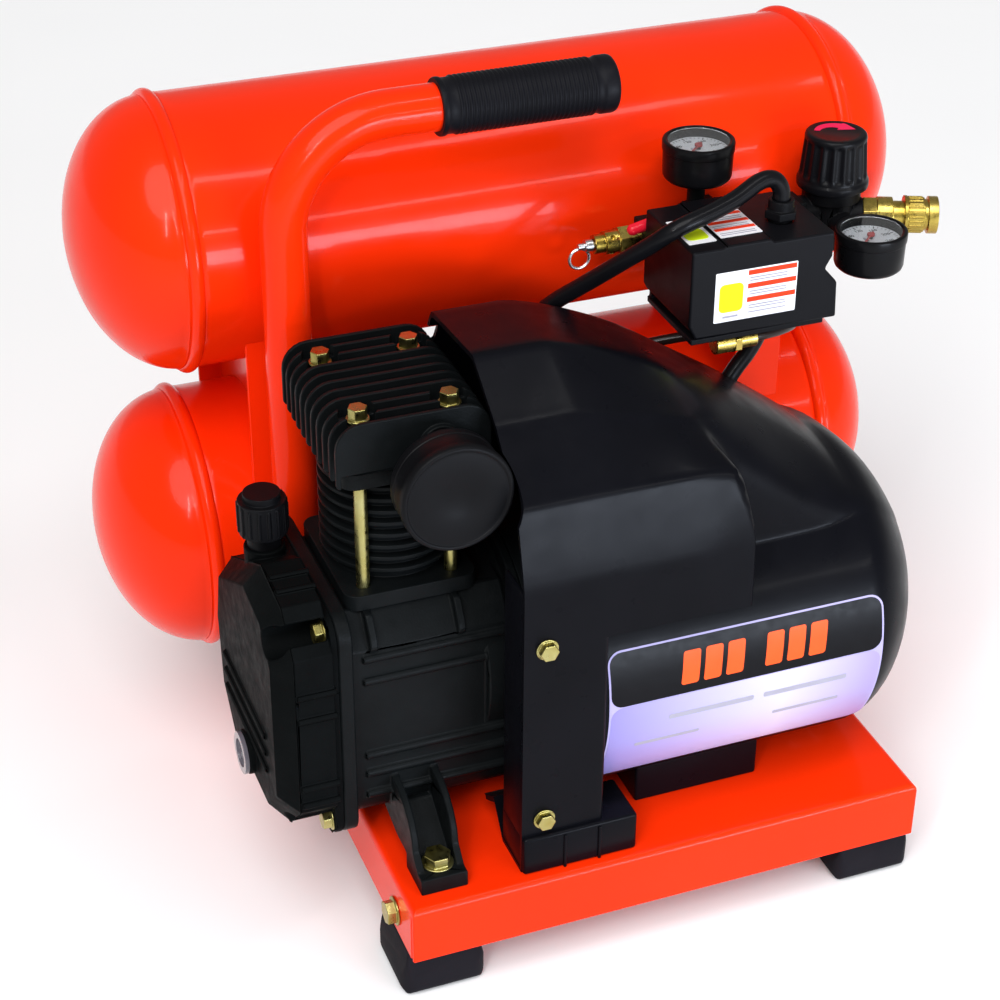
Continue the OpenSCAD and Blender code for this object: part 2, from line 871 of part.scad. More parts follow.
module discharge_tube() {
  color([0.72, 0.45, 0.30])
    sweep_tube(smooth_route(discharge_route, 2), 5, 10);
}

// ---------- motor ----------

module motor_shell() {
  color(cast_black)
  pump_frame()
  difference() {
    union() {
      bar_x(motor_x0, motor_x1, motor_r);
      // two cradles for the capacitor
      for (x = [-30, 20]) block([x, -14, 60], [x + 6, 14, 76]);
      // bosses where the leads arrive
      for (x = [-8, 70]) translate([x, 20, 0]) bar_z(58, 78, 8);
    }
    bar_x(motor_x0 - 1, motor_x1 + 1, motor_r - 2);
    translate([0, -6, 88]) bar_x(-40, 40, 19);
    for (x = [-8, 70]) translate([x, 20, 0]) bar_z(69.5, 79, lead_r + 0.1);
  }
}

stator_x0 = -20;
stator_x1 = 52;

module stator_core() {
  color([0.45, 0.46, 0.48])
  pump_frame()
  difference() {
    bar_x(stator_x0, stator_x1, motor_r - 2);
    bar_x(stator_x0 - 1, stator_x1 + 1, 34.6);
    for (i = [0:23])
      rotate([i * 15, 0, 0]) block([stator_x0 - 1, -1.6, 34], [stator_x1 + 1, 1.6, 52]);
  }
}

module stator_windings() {
  color([0.70, 0.36, 0.16])
  pump_frame()
  for (x = [stator_x0 - 20, stator_x1]) ring_x(x, x + 20, 54, 37);
}

module rotor() {
  color([0.50, 0.51, 0.53])
  pump_frame() {
    ring_x(stator_x0, stator_x1, 34.1, shaft_r);
    for (x = [stator_x0 - 5, stator_x1]) ring_x(x, x + 5, 31, 20);
  }
}

module motor_end_bell() {
  color([0.60, 0.61, 0.62])
  pump_frame()
  difference() {
    union() {
      bar_x(bell_x, bell_x + 6, motor_r);
      bar_x(bell_x, bell_x + 13, 21);
    }
    bar_x(bell_x + 1, bell_x + 14, 17);
    bar_x(bell_x - 1, bell_x + 2, 12);
    for (i = [0:7])
      rotate([i * 45 + 22.5, 0, 0]) translate([0, 0, 44]) bar_x(bell_x - 1, bell_x + 7, 11);
  }
}

fan_blades = 9;

module cooling_fan() {
  color([0.20, 0.22, 0.24])
  pump_frame() {
    ring_x(120, 136, 15, 8);
    ring_x(120, 122.5, 62, 14);
    for (i = [0:fan_blades - 1])
      rotate([i * 360 / fan_blades, 0, 0])
        translate([122, -1, 13]) rotate([0, 0, 12]) cube([12, 2, 47]);
  }
}

module capacitor() {
  color([0.14, 0.14, 0.15])
  pump_frame()
  translate([0, -6, 88]) {
    bar_x(-40, 40, 19);
    bar_x(40, 43, 16);
    for (dy = [-6, 6]) translate([0, dy, 0]) bar_x(43, 50, 1.6);
  }
}

// steel cradle between the tray and the motor
module motor_foot() {
  color(cast_black)
  difference() {
    union() {
      block([2, -110, tray_top], [68, -40, tray_top + 3]);
      for (x = [22, 44]) block([x, -106, tray_top], [x + 4, -44, tray_top + 40]);
    }
    pump_frame() bar_x(-10, 90, motor_r);
    for (x = motor_foot_x) for (y = motor_foot_y)
      translate([x, y, 0]) bar_z(tray_top - 1, tray_top + 4, 3.3);
  }
}

// ---------- shroud ----------

function clamp01(v) = min(max(v, 0), 1);

// height factor of the hump, and the closing of the domed end
function fade(x, x0, x1, p) = pow(1 - pow(clamp01((x - x0) / (x1 - x0)), p), 1 / p);

function edge_r(dir, a, b, inset) =
  let (
    e = b - a,
    down = dir.x * e.y - dir.y * e.x,
    turn = a.x * e.y - a.y * e.x,
    d = turn - inset * norm(e) * sign(turn)
  )
  abs(down) < 0.001 || d / down <= 0 ? 1000 : d / down;

// distance from the shroud's axis to its skin, at x and at an angle from +Y, less an inset
function skin_r(x, a, inset) =
  let (
    dir = [cos(a), sin(a)],
    lift = fade(x, hump_x0, shroud_x1, 1.28),
    grow = pow(lift, 0.74),
    top = max(hump_h * lift, shroud_r),
    front = shroud_r - 5 + (front_d - shroud_r + 5) * grow,
    corner = 32 + 60 * grow,
    rise = top - corner,
    outline = [[-front, -20], [-front, corner], [-front + 19 * grow, corner + 0.4 * rise],
      [-front + 41 * grow, corner + 0.78 * rise], [-28, top], [42, top - 5 * grow],
      [72, corner + 0.42 * rise], [shroud_r, corner - 10], [shroud_r, -20]],
    walls = [for (i = [0:len(outline) - 2]) edge_r(dir, outline[i], outline[i + 1], inset)],
    bulge = dir.x < 0 ? max(0, front - shroud_r) * max(0, 1 - abs(a - 180) / 45) : 0,
    barrel = shroud_r - inset + bulge
  )
  (dir.y > 0 ? max(barrel, min(walls)) : barrel) * fade(x, dome_x0, shroud_x1 - inset, 1.7);

shroud_sides = 40;
shroud_stations = [-83, -62, -46, -20, 5, 30, 54, 76, 96, 112, 126, 139, 150, 159, 167, 173, 177];

function skin_grid(inset) = [for (x = shroud_stations) for (k = [0:shroud_sides - 1])
  let (a = 360 * k / shroud_sides, xi = min(x, shroud_x1 - inset - 0.8), r = skin_r(xi, a, inset))
  [xi, shroud_y + r * cos(a), shroud_z + r * sin(a)]];

// the one-piece cup of the shroud: outer skin, inner skin and the rim at its open left end
module shroud_cup() {
  n = shroud_sides;
  m = len(shroud_stations);
  base = n * m;
  tip_out = 2 * base;
  points = concat(skin_grid(0), skin_grid(shroud_t),
    [[shroud_x1, shroud_y, shroud_z], [shroud_x1 - shroud_t, shroud_y, shroud_z]]);
  outer = [for (i = [0:m - 2]) for (k = [0:n - 1]) let (j = (k + 1) % n)
    [i * n + k, (i + 1) * n + k, (i + 1) * n + j, i * n + j]];
  inner = [for (i = [0:m - 2]) for (k = [0:n - 1]) let (j = (k + 1) % n)
    [base + i * n + k, base + i * n + j, base + (i + 1) * n + j, base + (i + 1) * n + k]];
  rim = [for (k = [0:n - 1]) let (j = (k + 1) % n) [k, j, base + j, base + k]];
  cap_out = [for (k = [0:n - 1]) let (j = (k + 1) % n) [(m - 1) * n + k, tip_out, (m - 1) * n + j]];
  cap_in = [for (k = [0:n - 1]) let (j = (k + 1) % n)
    [base + (m - 1) * n + k, base + (m - 1) * n + j, tip_out + 1]];
  polyhedron(points = points, faces = concat(outer, inner, rim, cap_out, cap_in), convexity = 8);
}

module shroud() {
  color(plastic_black)
  difference() {
    union() {
      shroud_cup();
      // pillar at the left front, as three walls
      difference() {
        block([shroud_x0, -170, tray_top], [-36, -142, 215]);
        block([shroud_x0 + shroud_t, -170 + shroud_t, tray_top - 1], [-36 - shroud_t, -141, 216]);
      }
      // foot of the pillar
      difference() {
        block([shroud_x0, -173, tray_top], [-17, -140, tray_top + 24]);
        block([shroud_x0 + 3, -170, tray_top - 1], [-20, -139, tray_top + 21]);
      }
      // foot under the barrel
      difference() {
        block([-2, -137, tray_top], [73, -110, tray_top + 30]);
        block([1, -134, tray_top - 1], [70, -109, tray_top + 31]);
        translate([0, shroud_y, shroud_z]) bar_x(-20, 90, shroud_r - shroud_t / 2);
      }
    }
    // open slot below, for the motor foot and the cooling air
    block([shroud_x0 - 3, shroud_y - 40, tray_top - 3], [140, shroud_y + 40, tray_top + 12]);
    // air slots in the domed end
    for (i = [0:11])
      translate([140, shroud_y, shroud_z]) rotate([i * 30, 0, 0])
        block([0, -3, 22], [60, 3, 52]);
    for (z = [98, 208])
      translate([-70.5, 0, z]) bar_y(-171, -166, 3.3);
    // notches for the edges of the filter and of the cylinder head
    pump_frame() translate([filter_x, 0, filter_w]) bar_y(-110, -45, filter_r + 1.2);
    block([shroud_x0 - 2, pump_y - 49, 280], [-77.5, pump_y + 49, pump_z + head_top_w + 1.2]);
    // holes for the two motor leads
    translate([-21, -8, 0]) bar_z(268, 330, 7.5);
    translate([90, -41, 267]) rotate([0, 40, 0]) bar_z(-16, 16, 7.5);
  }
}

module shroud_screws() {
  color(zinc)
  for (z = [98, 208])
    translate([-70.5, -170, z]) {
      rotate([90, 0, 0]) hex_head(9, 3.5);
      bar_y(-overlap, 12, 3);
    }
}

// ---------- controls ----------

gland_at = [110, -49];
low_gland_at = [108, -40];
lever_at = [66, -10, 357];
lever_pin_r = 2.6;

// floor, back wall and contact block of the switch, with the pipe stub that carries it
module switch_base() {
  color(plastic_black)
  difference() {
    union() {
      block([switch_x0 + 3, switch_y0 + 3, switch_z0 - 5], [switch_x1 - 3, switch_y1, switch_z0 - 1.5]);
      block([switch_x0 + 4, switch_y1 - 4, switch_z0 - 5], [switch_x1 - 10, switch_y1, switch_z1 - 4]);
      block([switch_x0 + 24, switch_y0 + 18, switch_z0 - 2], [switch_x1 - 22, switch_y1 - 3, switch_z0 + 30]);
      block([switch_x0 + 26, switch_y1 - 1, 326], [switch_x1 - 30, man_y - 9, 348]);
    }
    translate([low_gland_at.x, low_gland_at.y, 0]) bar_z(switch_z0 - 6, switch_z0 + 4, 6.4);
    translate([82, -52, 0]) bar_z(switch_z0 - 6, switch_z0 + 6, 4.05);
    translate([lever_at.x, 0, lever_at.z]) bar_y(switch_y1 - 5, switch_y1 + 1, lever_pin_r + 0.05);
  }
}

module switch_cover() {
  color(plastic_black)
  difference() {
    extrude_y(switch_y0, switch_y1)
      polygon([[switch_x0 + 4, switch_z0], [switch_x1 + 3, switch_z0 - 1], [switch_x1 + 2, 334],
        [switch_x1 - 6, 343], [switch_x1 - 2, 350], [switch_x1 - 2, switch_z1 - 1], [switch_x1 - 38, switch_z1 - 1],
        [switch_x1 - 39, switch_z1 + 1], [switch_x0 + 20, switch_z1 + 1], [switch_x0 + 19, switch_z1],
        [switch_x0, switch_z1], [switch_x0, switch_z0 + 8]]);
    block([switch_x0 + 2.5, switch_y0 + 2.5, switch_z0 - 5], [switch_x1 - 9, switch_y1 + 1, switch_z1 - 3]);
    translate([gland_at.x, gland_at.y, 0]) bar_z(switch_z1 - 5, switch_z1 + 3, 6.3);
  }
}

// wire lever with a soft red tip, on a pin in the back wall of the switch
module switch_lever() {
  color([0.85, 0.05, 0.08])
  translate(lever_at) {
    bar_y(-8, 2.5, lever_pin_r);
    rotate([0, -102, 0]) {
      cylinder(h = 16, r = 1.2);
      translate([0, 0, 12]) cylinder(h = 13, r = 3.2);
      translate([0, 0, 25]) sphere(r = 3.2);
    }
  }
}

module cable_glands() {
  color(plastic_black) {
    translate([gland_at.x, gland_at.y, 0]) difference() {
      union() {
        bar_z(switch_z1 - 2, switch_z1 + 3, 6.2);
        translate([0, 0, switch_z1 + 1]) cylinder(h = 4.5, r = 9.5, $fn = 6);
        bar_z(switch_z1 + 5, switch_z1 + 11, 7);
      }
      bar_z(switch_z1 - 3, switch_z1 + 12, lead_r + 0.1);
    }
    translate([low_gland_at.x, low_gland_at.y, 0]) difference() {
      union() {
        bar_z(switch_z0 - 4, switch_z0 + 2, 6.2);
        translate([0, 0, switch_z0 - 9.5]) cylinder(h = 4.5, r = 9.5, $fn = 6);
      }
      bar_z(switch_z0 - 11, switch_z0 + 3, lead_r + 0.1);
    }
  }
}

lead_r = 4.7;

// route of the upper lead: switch, over the top, down behind the hump, to the motor
upper_lead = [
  [110, -49, 366], [110, -49, 374], [109, -49, 382], [104, -49, 388], [95, -50, 388],
  [81, -53, 382], [66, -56, 378], [52, -58, 375], [42, -56, 370], [33, -50, 361],
  [23, -42, 351], [13, -33, 340], [3, -25, 330], [-6, -18, 321], [-14, -12, 311],
  [-19, -9, 300], [-21, -9, 288], [-20, -16, 270], [-14, -30, 251], [-9, -44, 240],
  [-8, -49, 233], [-8, -49, 226]
];

// route of the lower lead: from below the switch into the hump, to the motor
lower_lead = [
  [108, -40, 315], [108, -40, 307], [108, -40, 299], [106, -40, 290], [101, -40, 281],
  [94, -40, 272], [88, -41, 264], [82, -44, 256], [75, -47, 248], [71, -49, 240],
  [70, -49, 233], [70, -49, 226]
];

module motor_leads() {
  color([0.05, 0.05, 0.055]) {
    sweep_tube(smooth_route(upper_lead, 2), lead_r, 10);
    sweep_tube(smooth_route(lower_lead, 2), lead_r, 10);
  }
}

// route of the thin tube from the unloader valve to the check valve
unloader_route = [
  [92, -52, 297], [99, -52, 297], [107, -51, 297], [116, -48, 296], [125, -42, 294], [131, -34, 291],
  [131, -27, 287], [122, -20, 283], [104, -10, 279], [78, 3, 273], [48, 14, 265],
  [10, 20, 256], [-30, 21, 248], [-52, 22, 242], [-66, 25, 232], [-74, 29, 222],
  [-80, 31.5, 216], [-87, 32, 214.5], [-93, 32, 214.5]
];

module unloader_tube() {
  color([0.16, 0.10, 0.08])
    sweep_tube(smooth_route(unloader_route, 2), 3, 8);
}

module unloader_valve() {
  color(brass)
  translate([0, -52, 297])
  difference() {
    union() {
      translate([82, 0, 0]) bar_z(0, switch_z0 + 3 - 297, 4);
      bar_x(73, 84, 6);
      translate([84, 0, 0]) rotate([0, 90, 0]) cylinder(h = 4, r = 7, $fn = 6);
      bar_x(87, 98, 5);
    }
    bar_x(91, 99, 3.1);
  }
}

module manifold() {
  color([0.16, 0.16, 0.17])
  difference() {
    union() {
      block([52, man_y - 9, man_z - 9], [150, man_y + 9, man_z + 9]);
      translate([95, 0, man_z]) bar_y(man_y + 8, tank_y - tank_r + 4, 9);
      translate([95, man_y + 9, man_z]) rotate([-90, 0, 0]) cylinder(h = 8, r = 13, $fn = 6);
      translate([gauge1_x, man_y, man_z + 8]) cylinder(h = 6, r = 9.5, $fn = 6);
      translate([gauge1_x, man_y, 0]) bar_z(man_z + 13, gauge1_z - 22, 5);
    }
    translate([0, tank_y, man_z]) bar_x(-half_tank, half_tank, tank_r);
    translate([0, man_y, man_z]) bar_x(51, 151, 4);
    translate([95, 0, man_z]) bar_y(man_y, tank_y, 5);
  }
}

module regulator_body() {
  color(plastic_black)
  translate([reg_x, man_y, man_z])
  difference() {
    union() {
      bar_z(-21, 8, 14);
      bar_z(6, 13.5, 16.5);
      bar_z(13, 20, 8);
      bar_x(-20, 15, 9);
      // front port of the outlet gauge
      translate([0, 0, -5]) bar_y(-24, 0, 7);
      translate([0, 0, -24]) bar_z(0, 4, 9);
      // side port of the coupler
      translate([0, 0, coupler_z - man_z]) rotate([0, 0, coupler_turn]) bar_x(0, 18, 9.5);
    }
    bar_x(-21, -3, 4);
    translate([0, 0, -5]) bar_y(-25, -9, 4.1);
    translate([0, 0, coupler_z - man_z]) rotate([0, 0, coupler_turn]) bar_x(6, 19, 6.6);
  }
}

knob_flutes = 18;

module regulator_knob() {
  color(plastic_black)
  translate([reg_x, man_y, man_z])
  difference() {
    rotate_extrude() polygon(concat([[0, 14], [20.3, 14], [20.3, 18], [19.3, 20], [17.5, 43]],
      arc(15.5, 43.3, 2, 0, 90, 4), [[0, 45.3]]));
    bar_z(13, 22, 8.3);
    for (i = [0:knob_flutes - 1])
      rotate([0, 0, i * 360 / knob_flutes]) translate([20.6, 0, 0]) rotate([0, -4, 0]) bar_z(20, 40, 2.2);
  }
}

gauge_depth = 22;

// one gauge standing on its back, with its dial up at the origin
module gauge_case() {
  difference() {
    rotate_extrude() polygon(concat([[0, -gauge_depth], [gauge_r - 3, -gauge_depth]],
      arc(gauge_r - 3.4, -gauge_depth + 2.4, 2.4, 270, 360, 4), [[gauge_r - 0.6, -4],
      [gauge_r, -3.5], [gauge_r, 0.5], [gauge_r - 1.5, 1.5], [0, 1.5]]));
    bar_z(-6, 2, gauge_r - 3);
  }
  bar_z(-6.5, -4, 1.2);
}

module gauge_cases() {
  color(plastic_black) {
    translate([gauge1_x, man_y, gauge1_z]) gauge_case();
    translate([gauge2_x, gauge2_y, gauge2_z]) gauge_case();
    translate([reg_x, 0, man_z - 5]) bar_y(gauge2_y + 12, man_y - 9.5, 4);
  }
}

module gauge_lenses() {
  color([0.85, 0.9, 0.92, 0.3])
  for (p = [[gauge1_x, man_y, gauge1_z], [gauge2_x, gauge2_y, gauge2_z]])
    translate(p) bar_z(-0.5, 0.8, gauge_r - 3);
}

module needle(turn) {
  rotate([0, 0, turn]) difference() {
    union() {
      bar_z(-3.7, -2.6, 2.2);
      block([-12.5, -0.6, -3.6], [4, 0.6, -3]);
    }
    bar_z(-5, -3.2, 1.26);
  }
}

module tank_gauge_needle() {
  color([0.75, 0.1, 0.1])
    translate([gauge1_x, man_y, gauge1_z]) needle(45);
}

module outlet_gauge_needle() {
  color([0.75, 0.1, 0.1])
    translate([gauge2_x, gauge2_y, gauge2_z]) needle(45);
}

// children are placed along the coupler's axis, which leaves the regulator along X
module coupler_frame() {
  translate([reg_x, man_y, coupler_z]) rotate([0, 0, coupler_turn]) children();
}

module coupler_body() {
  color(brass)
  coupler_frame()
  difference() {
    union() {
      bar_x(9, 19, 6.5);
      translate([18, 0, 0]) rotate([0, 90, 0]) cylinder(h = 9, r = 10, $fn = 6);
      bar_x(26, 35, 9.8);
      bar_x(34, 58, 7.6);
    }
    bar_x(24, 59, coupler_bore_r);
    bar_x(8, 25, 3);
  }
}

module coupler_sleeve() {
  color(brass)
  coupler_frame()
  difference() {
    union() {
      bar_x(42, 53, 10);
      bar_x(41.5, 43.5, 10.8);
      bar_x(53, 55, 8.9);
      bar_x(55, 60.5, 10.6);
      for (i = [0:23])
        rotate([i * 15, 0, 0]) translate([0, 0, 10]) bar_x(44, 52, 0.5);
    }
    bar_x(41, 62, 7.66);
  }
}

module safety_valve() {
  color(brass)
  translate([0, man_y, man_z])
  difference() {
    union() {
      bar_x(48, 52, 5);
      translate([38, 0, 0]) rotate([0, 90, 0]) cylinder(h = 10.5, r = 8.4, $fn = 6);
      bar_x(30, 39, 6.6);
      bar_x(24, 31, 5.4);
    }
    bar_x(23, 46, 1.9);
    for (i = [0:3]) rotate([i * 90 + 45, 0, 0]) translate([34, 0, 0]) bar_z(4, 8, 1.4);
  }
}

// stem of the relief valve with the ring that hangs from it
module safety_valve_ring() {
  color(steel)
  translate([0, man_y, man_z]) {
    bar_x(15, 45, 1.8);
    bar_x(19, 23.5, 3.4);
    translate([16, 0, -7]) rotate([90, 0, 0])
      rotate_extrude() translate([5.8, 0]) circle(r = 0.9, $fn = 20);
  }
}

drain_x = 60;

// children are placed on the lower tank's skin, low at the back, rising along Z
module drain_frame() {
  translate([drain_x, tank_y, low_z]) rotate([-135, 0, 0]) translate([0, 0, tank_r]) children();
}

module drain_valve() {
  color(brass)
  difference() {
    drain_frame() {
      bar_z(-1.5, 5, 7);
      translate([0, 0, 4]) cylinder(h = 5, r = 8, $fn = 6);
      bar_z(8, 13, 5);
    }
    translate([0, tank_y, low_z]) bar_x(-half_tank, half_tank, tank_r);
    drain_frame() bar_z(4, 14, 2.5);
  }
}

base_tray();
rubber_feet();
base_bolts();
lower_tank_barrel();
lower_tank_ends();
upper_tank_barrel();
upper_tank_ends();
tank_brackets();
balance_pipe();
handle_tube();
handle_grip();
crankcase();
crankcase_cover();
cover_bolts();
sight_glass();
oil_breather();
shaft_bearings();
crankshaft();
connecting_rod();
wrist_pin();
piston();
piston_rings();
cylinder_barrel();  // cylinder
valve_plate();
reed_valves();
cylinder_head();
head_bolts();
filter_housing();
filter_element();
discharge_tube();
check_valve();
motor_shell();
stator_core();
stator_windings();
rotor();
motor_end_bell();
cooling_fan();
capacitor();
motor_foot();
shroud();
shroud_screws();
switch_base();
switch_cover();
switch_lever();
cable_glands();
motor_leads();
unloader_tube();
unloader_valve();
manifold();
regulator_body();
regulator_knob();
gauge_cases();
gauge_lenses();
tank_gauge_needle();
outlet_gauge_needle();
coupler_body();
coupler_sleeve();
safety_valve();
safety_valve_ring();
drain_valve();
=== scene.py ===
import json
import math
import bpy
import bmesh
from mathutils import Matrix, Vector


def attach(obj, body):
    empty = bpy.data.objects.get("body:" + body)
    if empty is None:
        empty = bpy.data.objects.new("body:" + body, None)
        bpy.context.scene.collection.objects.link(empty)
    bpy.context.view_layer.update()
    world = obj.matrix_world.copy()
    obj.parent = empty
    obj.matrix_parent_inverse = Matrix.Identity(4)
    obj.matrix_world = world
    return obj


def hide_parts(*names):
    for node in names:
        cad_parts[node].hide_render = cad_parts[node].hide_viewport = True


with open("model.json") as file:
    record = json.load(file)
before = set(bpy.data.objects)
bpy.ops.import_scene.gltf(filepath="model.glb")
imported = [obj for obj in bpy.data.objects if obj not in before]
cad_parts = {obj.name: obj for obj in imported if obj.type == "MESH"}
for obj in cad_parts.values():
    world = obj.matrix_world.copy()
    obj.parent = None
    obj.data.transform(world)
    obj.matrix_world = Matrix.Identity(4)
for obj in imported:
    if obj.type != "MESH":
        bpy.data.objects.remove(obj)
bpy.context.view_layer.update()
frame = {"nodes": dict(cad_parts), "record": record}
nodes = frame["nodes"]
scene = bpy.context.scene
MM = 0.001
slot_of = {s["node"]: s["material_slot"] for s in frame["record"]["subparts"]}
body_of = {n: body for body, members in frame["record"]["behaviour"]["bodies"].items() for n in members}

# ---------- camera ----------

camera_data = bpy.data.cameras.new("camera")
camera_data.sensor_width = 36
camera_data.lens = 80.57
camera_data.clip_end = 20
camera = bpy.data.objects.new("camera", camera_data)
camera.location = (-0.42445, -1.01951, 0.86539)
camera.rotation_euler = (math.radians(58.258), math.radians(-0.273), math.radians(-20.943))
scene.collection.objects.link(camera)
scene.camera = camera


# ---------- materials ----------

class Shader:
    """A node material with helpers for noise, mixing and bump."""

    def __init__(self, name):
        self.material = bpy.data.materials.new(name)
        self.material.use_nodes = True
        self.tree = self.material.node_tree
        self.tree.nodes.clear()
        self.out = self.add("ShaderNodeOutputMaterial")
        self.bsdf = self.add("ShaderNodeBsdfPrincipled")
        self.link(self.bsdf.outputs[0], self.out.inputs[0])
        self.coord = self.add("ShaderNodeTexCoord").outputs["Object"]
        self.height = None

    def add(self, kind, **values):
        node = self.tree.nodes.new(kind)
        for key, value in values.items():
            setattr(node, key, value)
        return node

    def link(self, a, b):
        self.tree.links.new(a, b)

    def set(self, **values):
        for key, value in values.items():
            self.bsdf.inputs[key.replace("_", " ")].default_value = value

    def noise(self, scale, detail=3.0, rough=0.5, stretch=None):
        node = self.add("ShaderNodeTexNoise")
        node.inputs["Scale"].default_value = scale
        node.inputs["Detail"].default_value = detail
        node.inputs["Roughness"].default_value = rough
        source = self.coord
        if stretch:
            mapping = self.add("ShaderNodeMapping")
            mapping.inputs["Scale"].default_value = stretch
            self.link(source, mapping.inputs[0])
            source = mapping.outputs[0]
        self.link(source, node.inputs["Vector"])
        return node.outputs["Fac"]

    def ramp(self, source, low, high, at=(0.3, 0.7)):
        node = self.add("ShaderNodeMapRange")
        node.inputs["From Min"].default_value = at[0]
        node.inputs["From Max"].default_value = at[1]
        node.inputs["To Min"].default_value = low
        node.inputs["To Max"].default_value = high
        self.link(source, node.inputs["Value"])
        return node.outputs[0]

    def colours(self, source, stops):
        node = self.add("ShaderNodeValToRGB")
        ramp = node.color_ramp
        while len(ramp.elements) < len(stops):
            ramp.elements.new(0.5)
        for element, (place, colour) in zip(ramp.elements, stops):
            element.position = place
            element.color = (*colour, 1)
        self.link(source, node.inputs["Fac"])
        return node.outputs["Color"]

    def base(self, source, stops):
        self.link(self.colours(source, stops), self.bsdf.inputs["Base Color"])

    def rough(self, source, low, high, at=(0.3, 0.7)):
        self.link(self.ramp(source, low, high, at), self.bsdf.inputs["Roughness"])

    def bump(self, source, strength, distance):
        node = self.add("ShaderNodeBump")
        node.inputs["Strength"].default_value = strength
        node.inputs["Distance"].default_value = distance
        self.link(source, node.inputs["Height"])
        if self.height is not None:
            self.link(self.height, node.inputs["Normal"])
        self.height = node.outputs[0]
        self.link(self.height, self.bsdf.inputs["Normal"])


def tint(colour, k):
    return tuple(min(1.0, c * k) for c in colour)


def enamel(name, colour, roughness=0.2, coat=0.6):
    s = Shader(name)
    s.set(Roughness=roughness, Coat_Weight=coat, Coat_Roughness=0.05, Specular_IOR_Level=0.08)
    s.base(s.noise(9, 4), [(0.3, tint(colour, 0.94)), (0.7, tint(colour, 1.04))])
    s.rough(s.noise(60, 4), roughness - 0.03, roughness + 0.05)
    s.bump(s.noise(240, 2), 0.06, 0.0006)
    return s.material


def casting(name, colour, roughness=0.42, grain=0.22, gloss=0.07):
    s = Shader(name)
    s.set(Specular_IOR_Level=gloss)
    s.base(s.noise(35, 5, 0.6), [(0.25, tint(colour, 0.75)), (0.75, tint(colour, 1.35))])
    s.rough(s.noise(150, 4), roughness - 0.07, roughness + 0.1)
    s.bump(s.noise(900, 3), grain, 0.0005)
    s.bump(s.noise(120, 3), 0.1, 0.0012)
    return s.material


def moulded(name, colour, roughness=0.36, grain=0.1, grain_scale=1600, coat=0.0, gloss=0.08):
    s = Shader(name)
    s.set(Coat_Weight=coat, Coat_Roughness=0.12, Specular_IOR_Level=gloss)
    s.base(s.noise(22, 4), [(0.3, tint(colour, 0.88)), (0.7, tint(colour, 1.15))])
    s.rough(s.noise(70, 4), roughness - 0.04, roughness + 0.07)
    s.bump(s.noise(grain_scale, 2), grain, 0.0003)
    return s.material


def metal(name, colour, second, roughness=0.28, grain=0.08, streak=None):
    s = Shader(name)
    s.set(Metallic=1.0)
    s.base(s.noise(60, 4), [(0.3, colour), (0.7, second)])
    s.rough(s.noise(300, 4), roughness - 0.06, roughness + 0.12)
    s.bump(s.noise(700, 3, 0.5, streak), grain, 0.0003)
    return s.material


def clear(name, colour):
    s = Shader(name)
    s.set(Roughness=0.03, Transmission_Weight=1.0, IOR=1.45, Alpha=1.0)
    s.base(s.noise(40, 2), [(0.3, tint(colour, 0.97)), (0.7, colour)])
    s.bump(s.noise(50, 1), 0.02, 0.0002)
    return s.material


def fibre(name, colour):
    s = Shader(name)
    s.set(Roughness=0.95, Sheen_Weight=0.4)
    s.base(s.noise(500, 5), [(0.3, tint(colour, 0.8)), (0.7, colour)])
    s.bump(s.noise(1500, 5), 0.6, 0.0006)
    return s.material


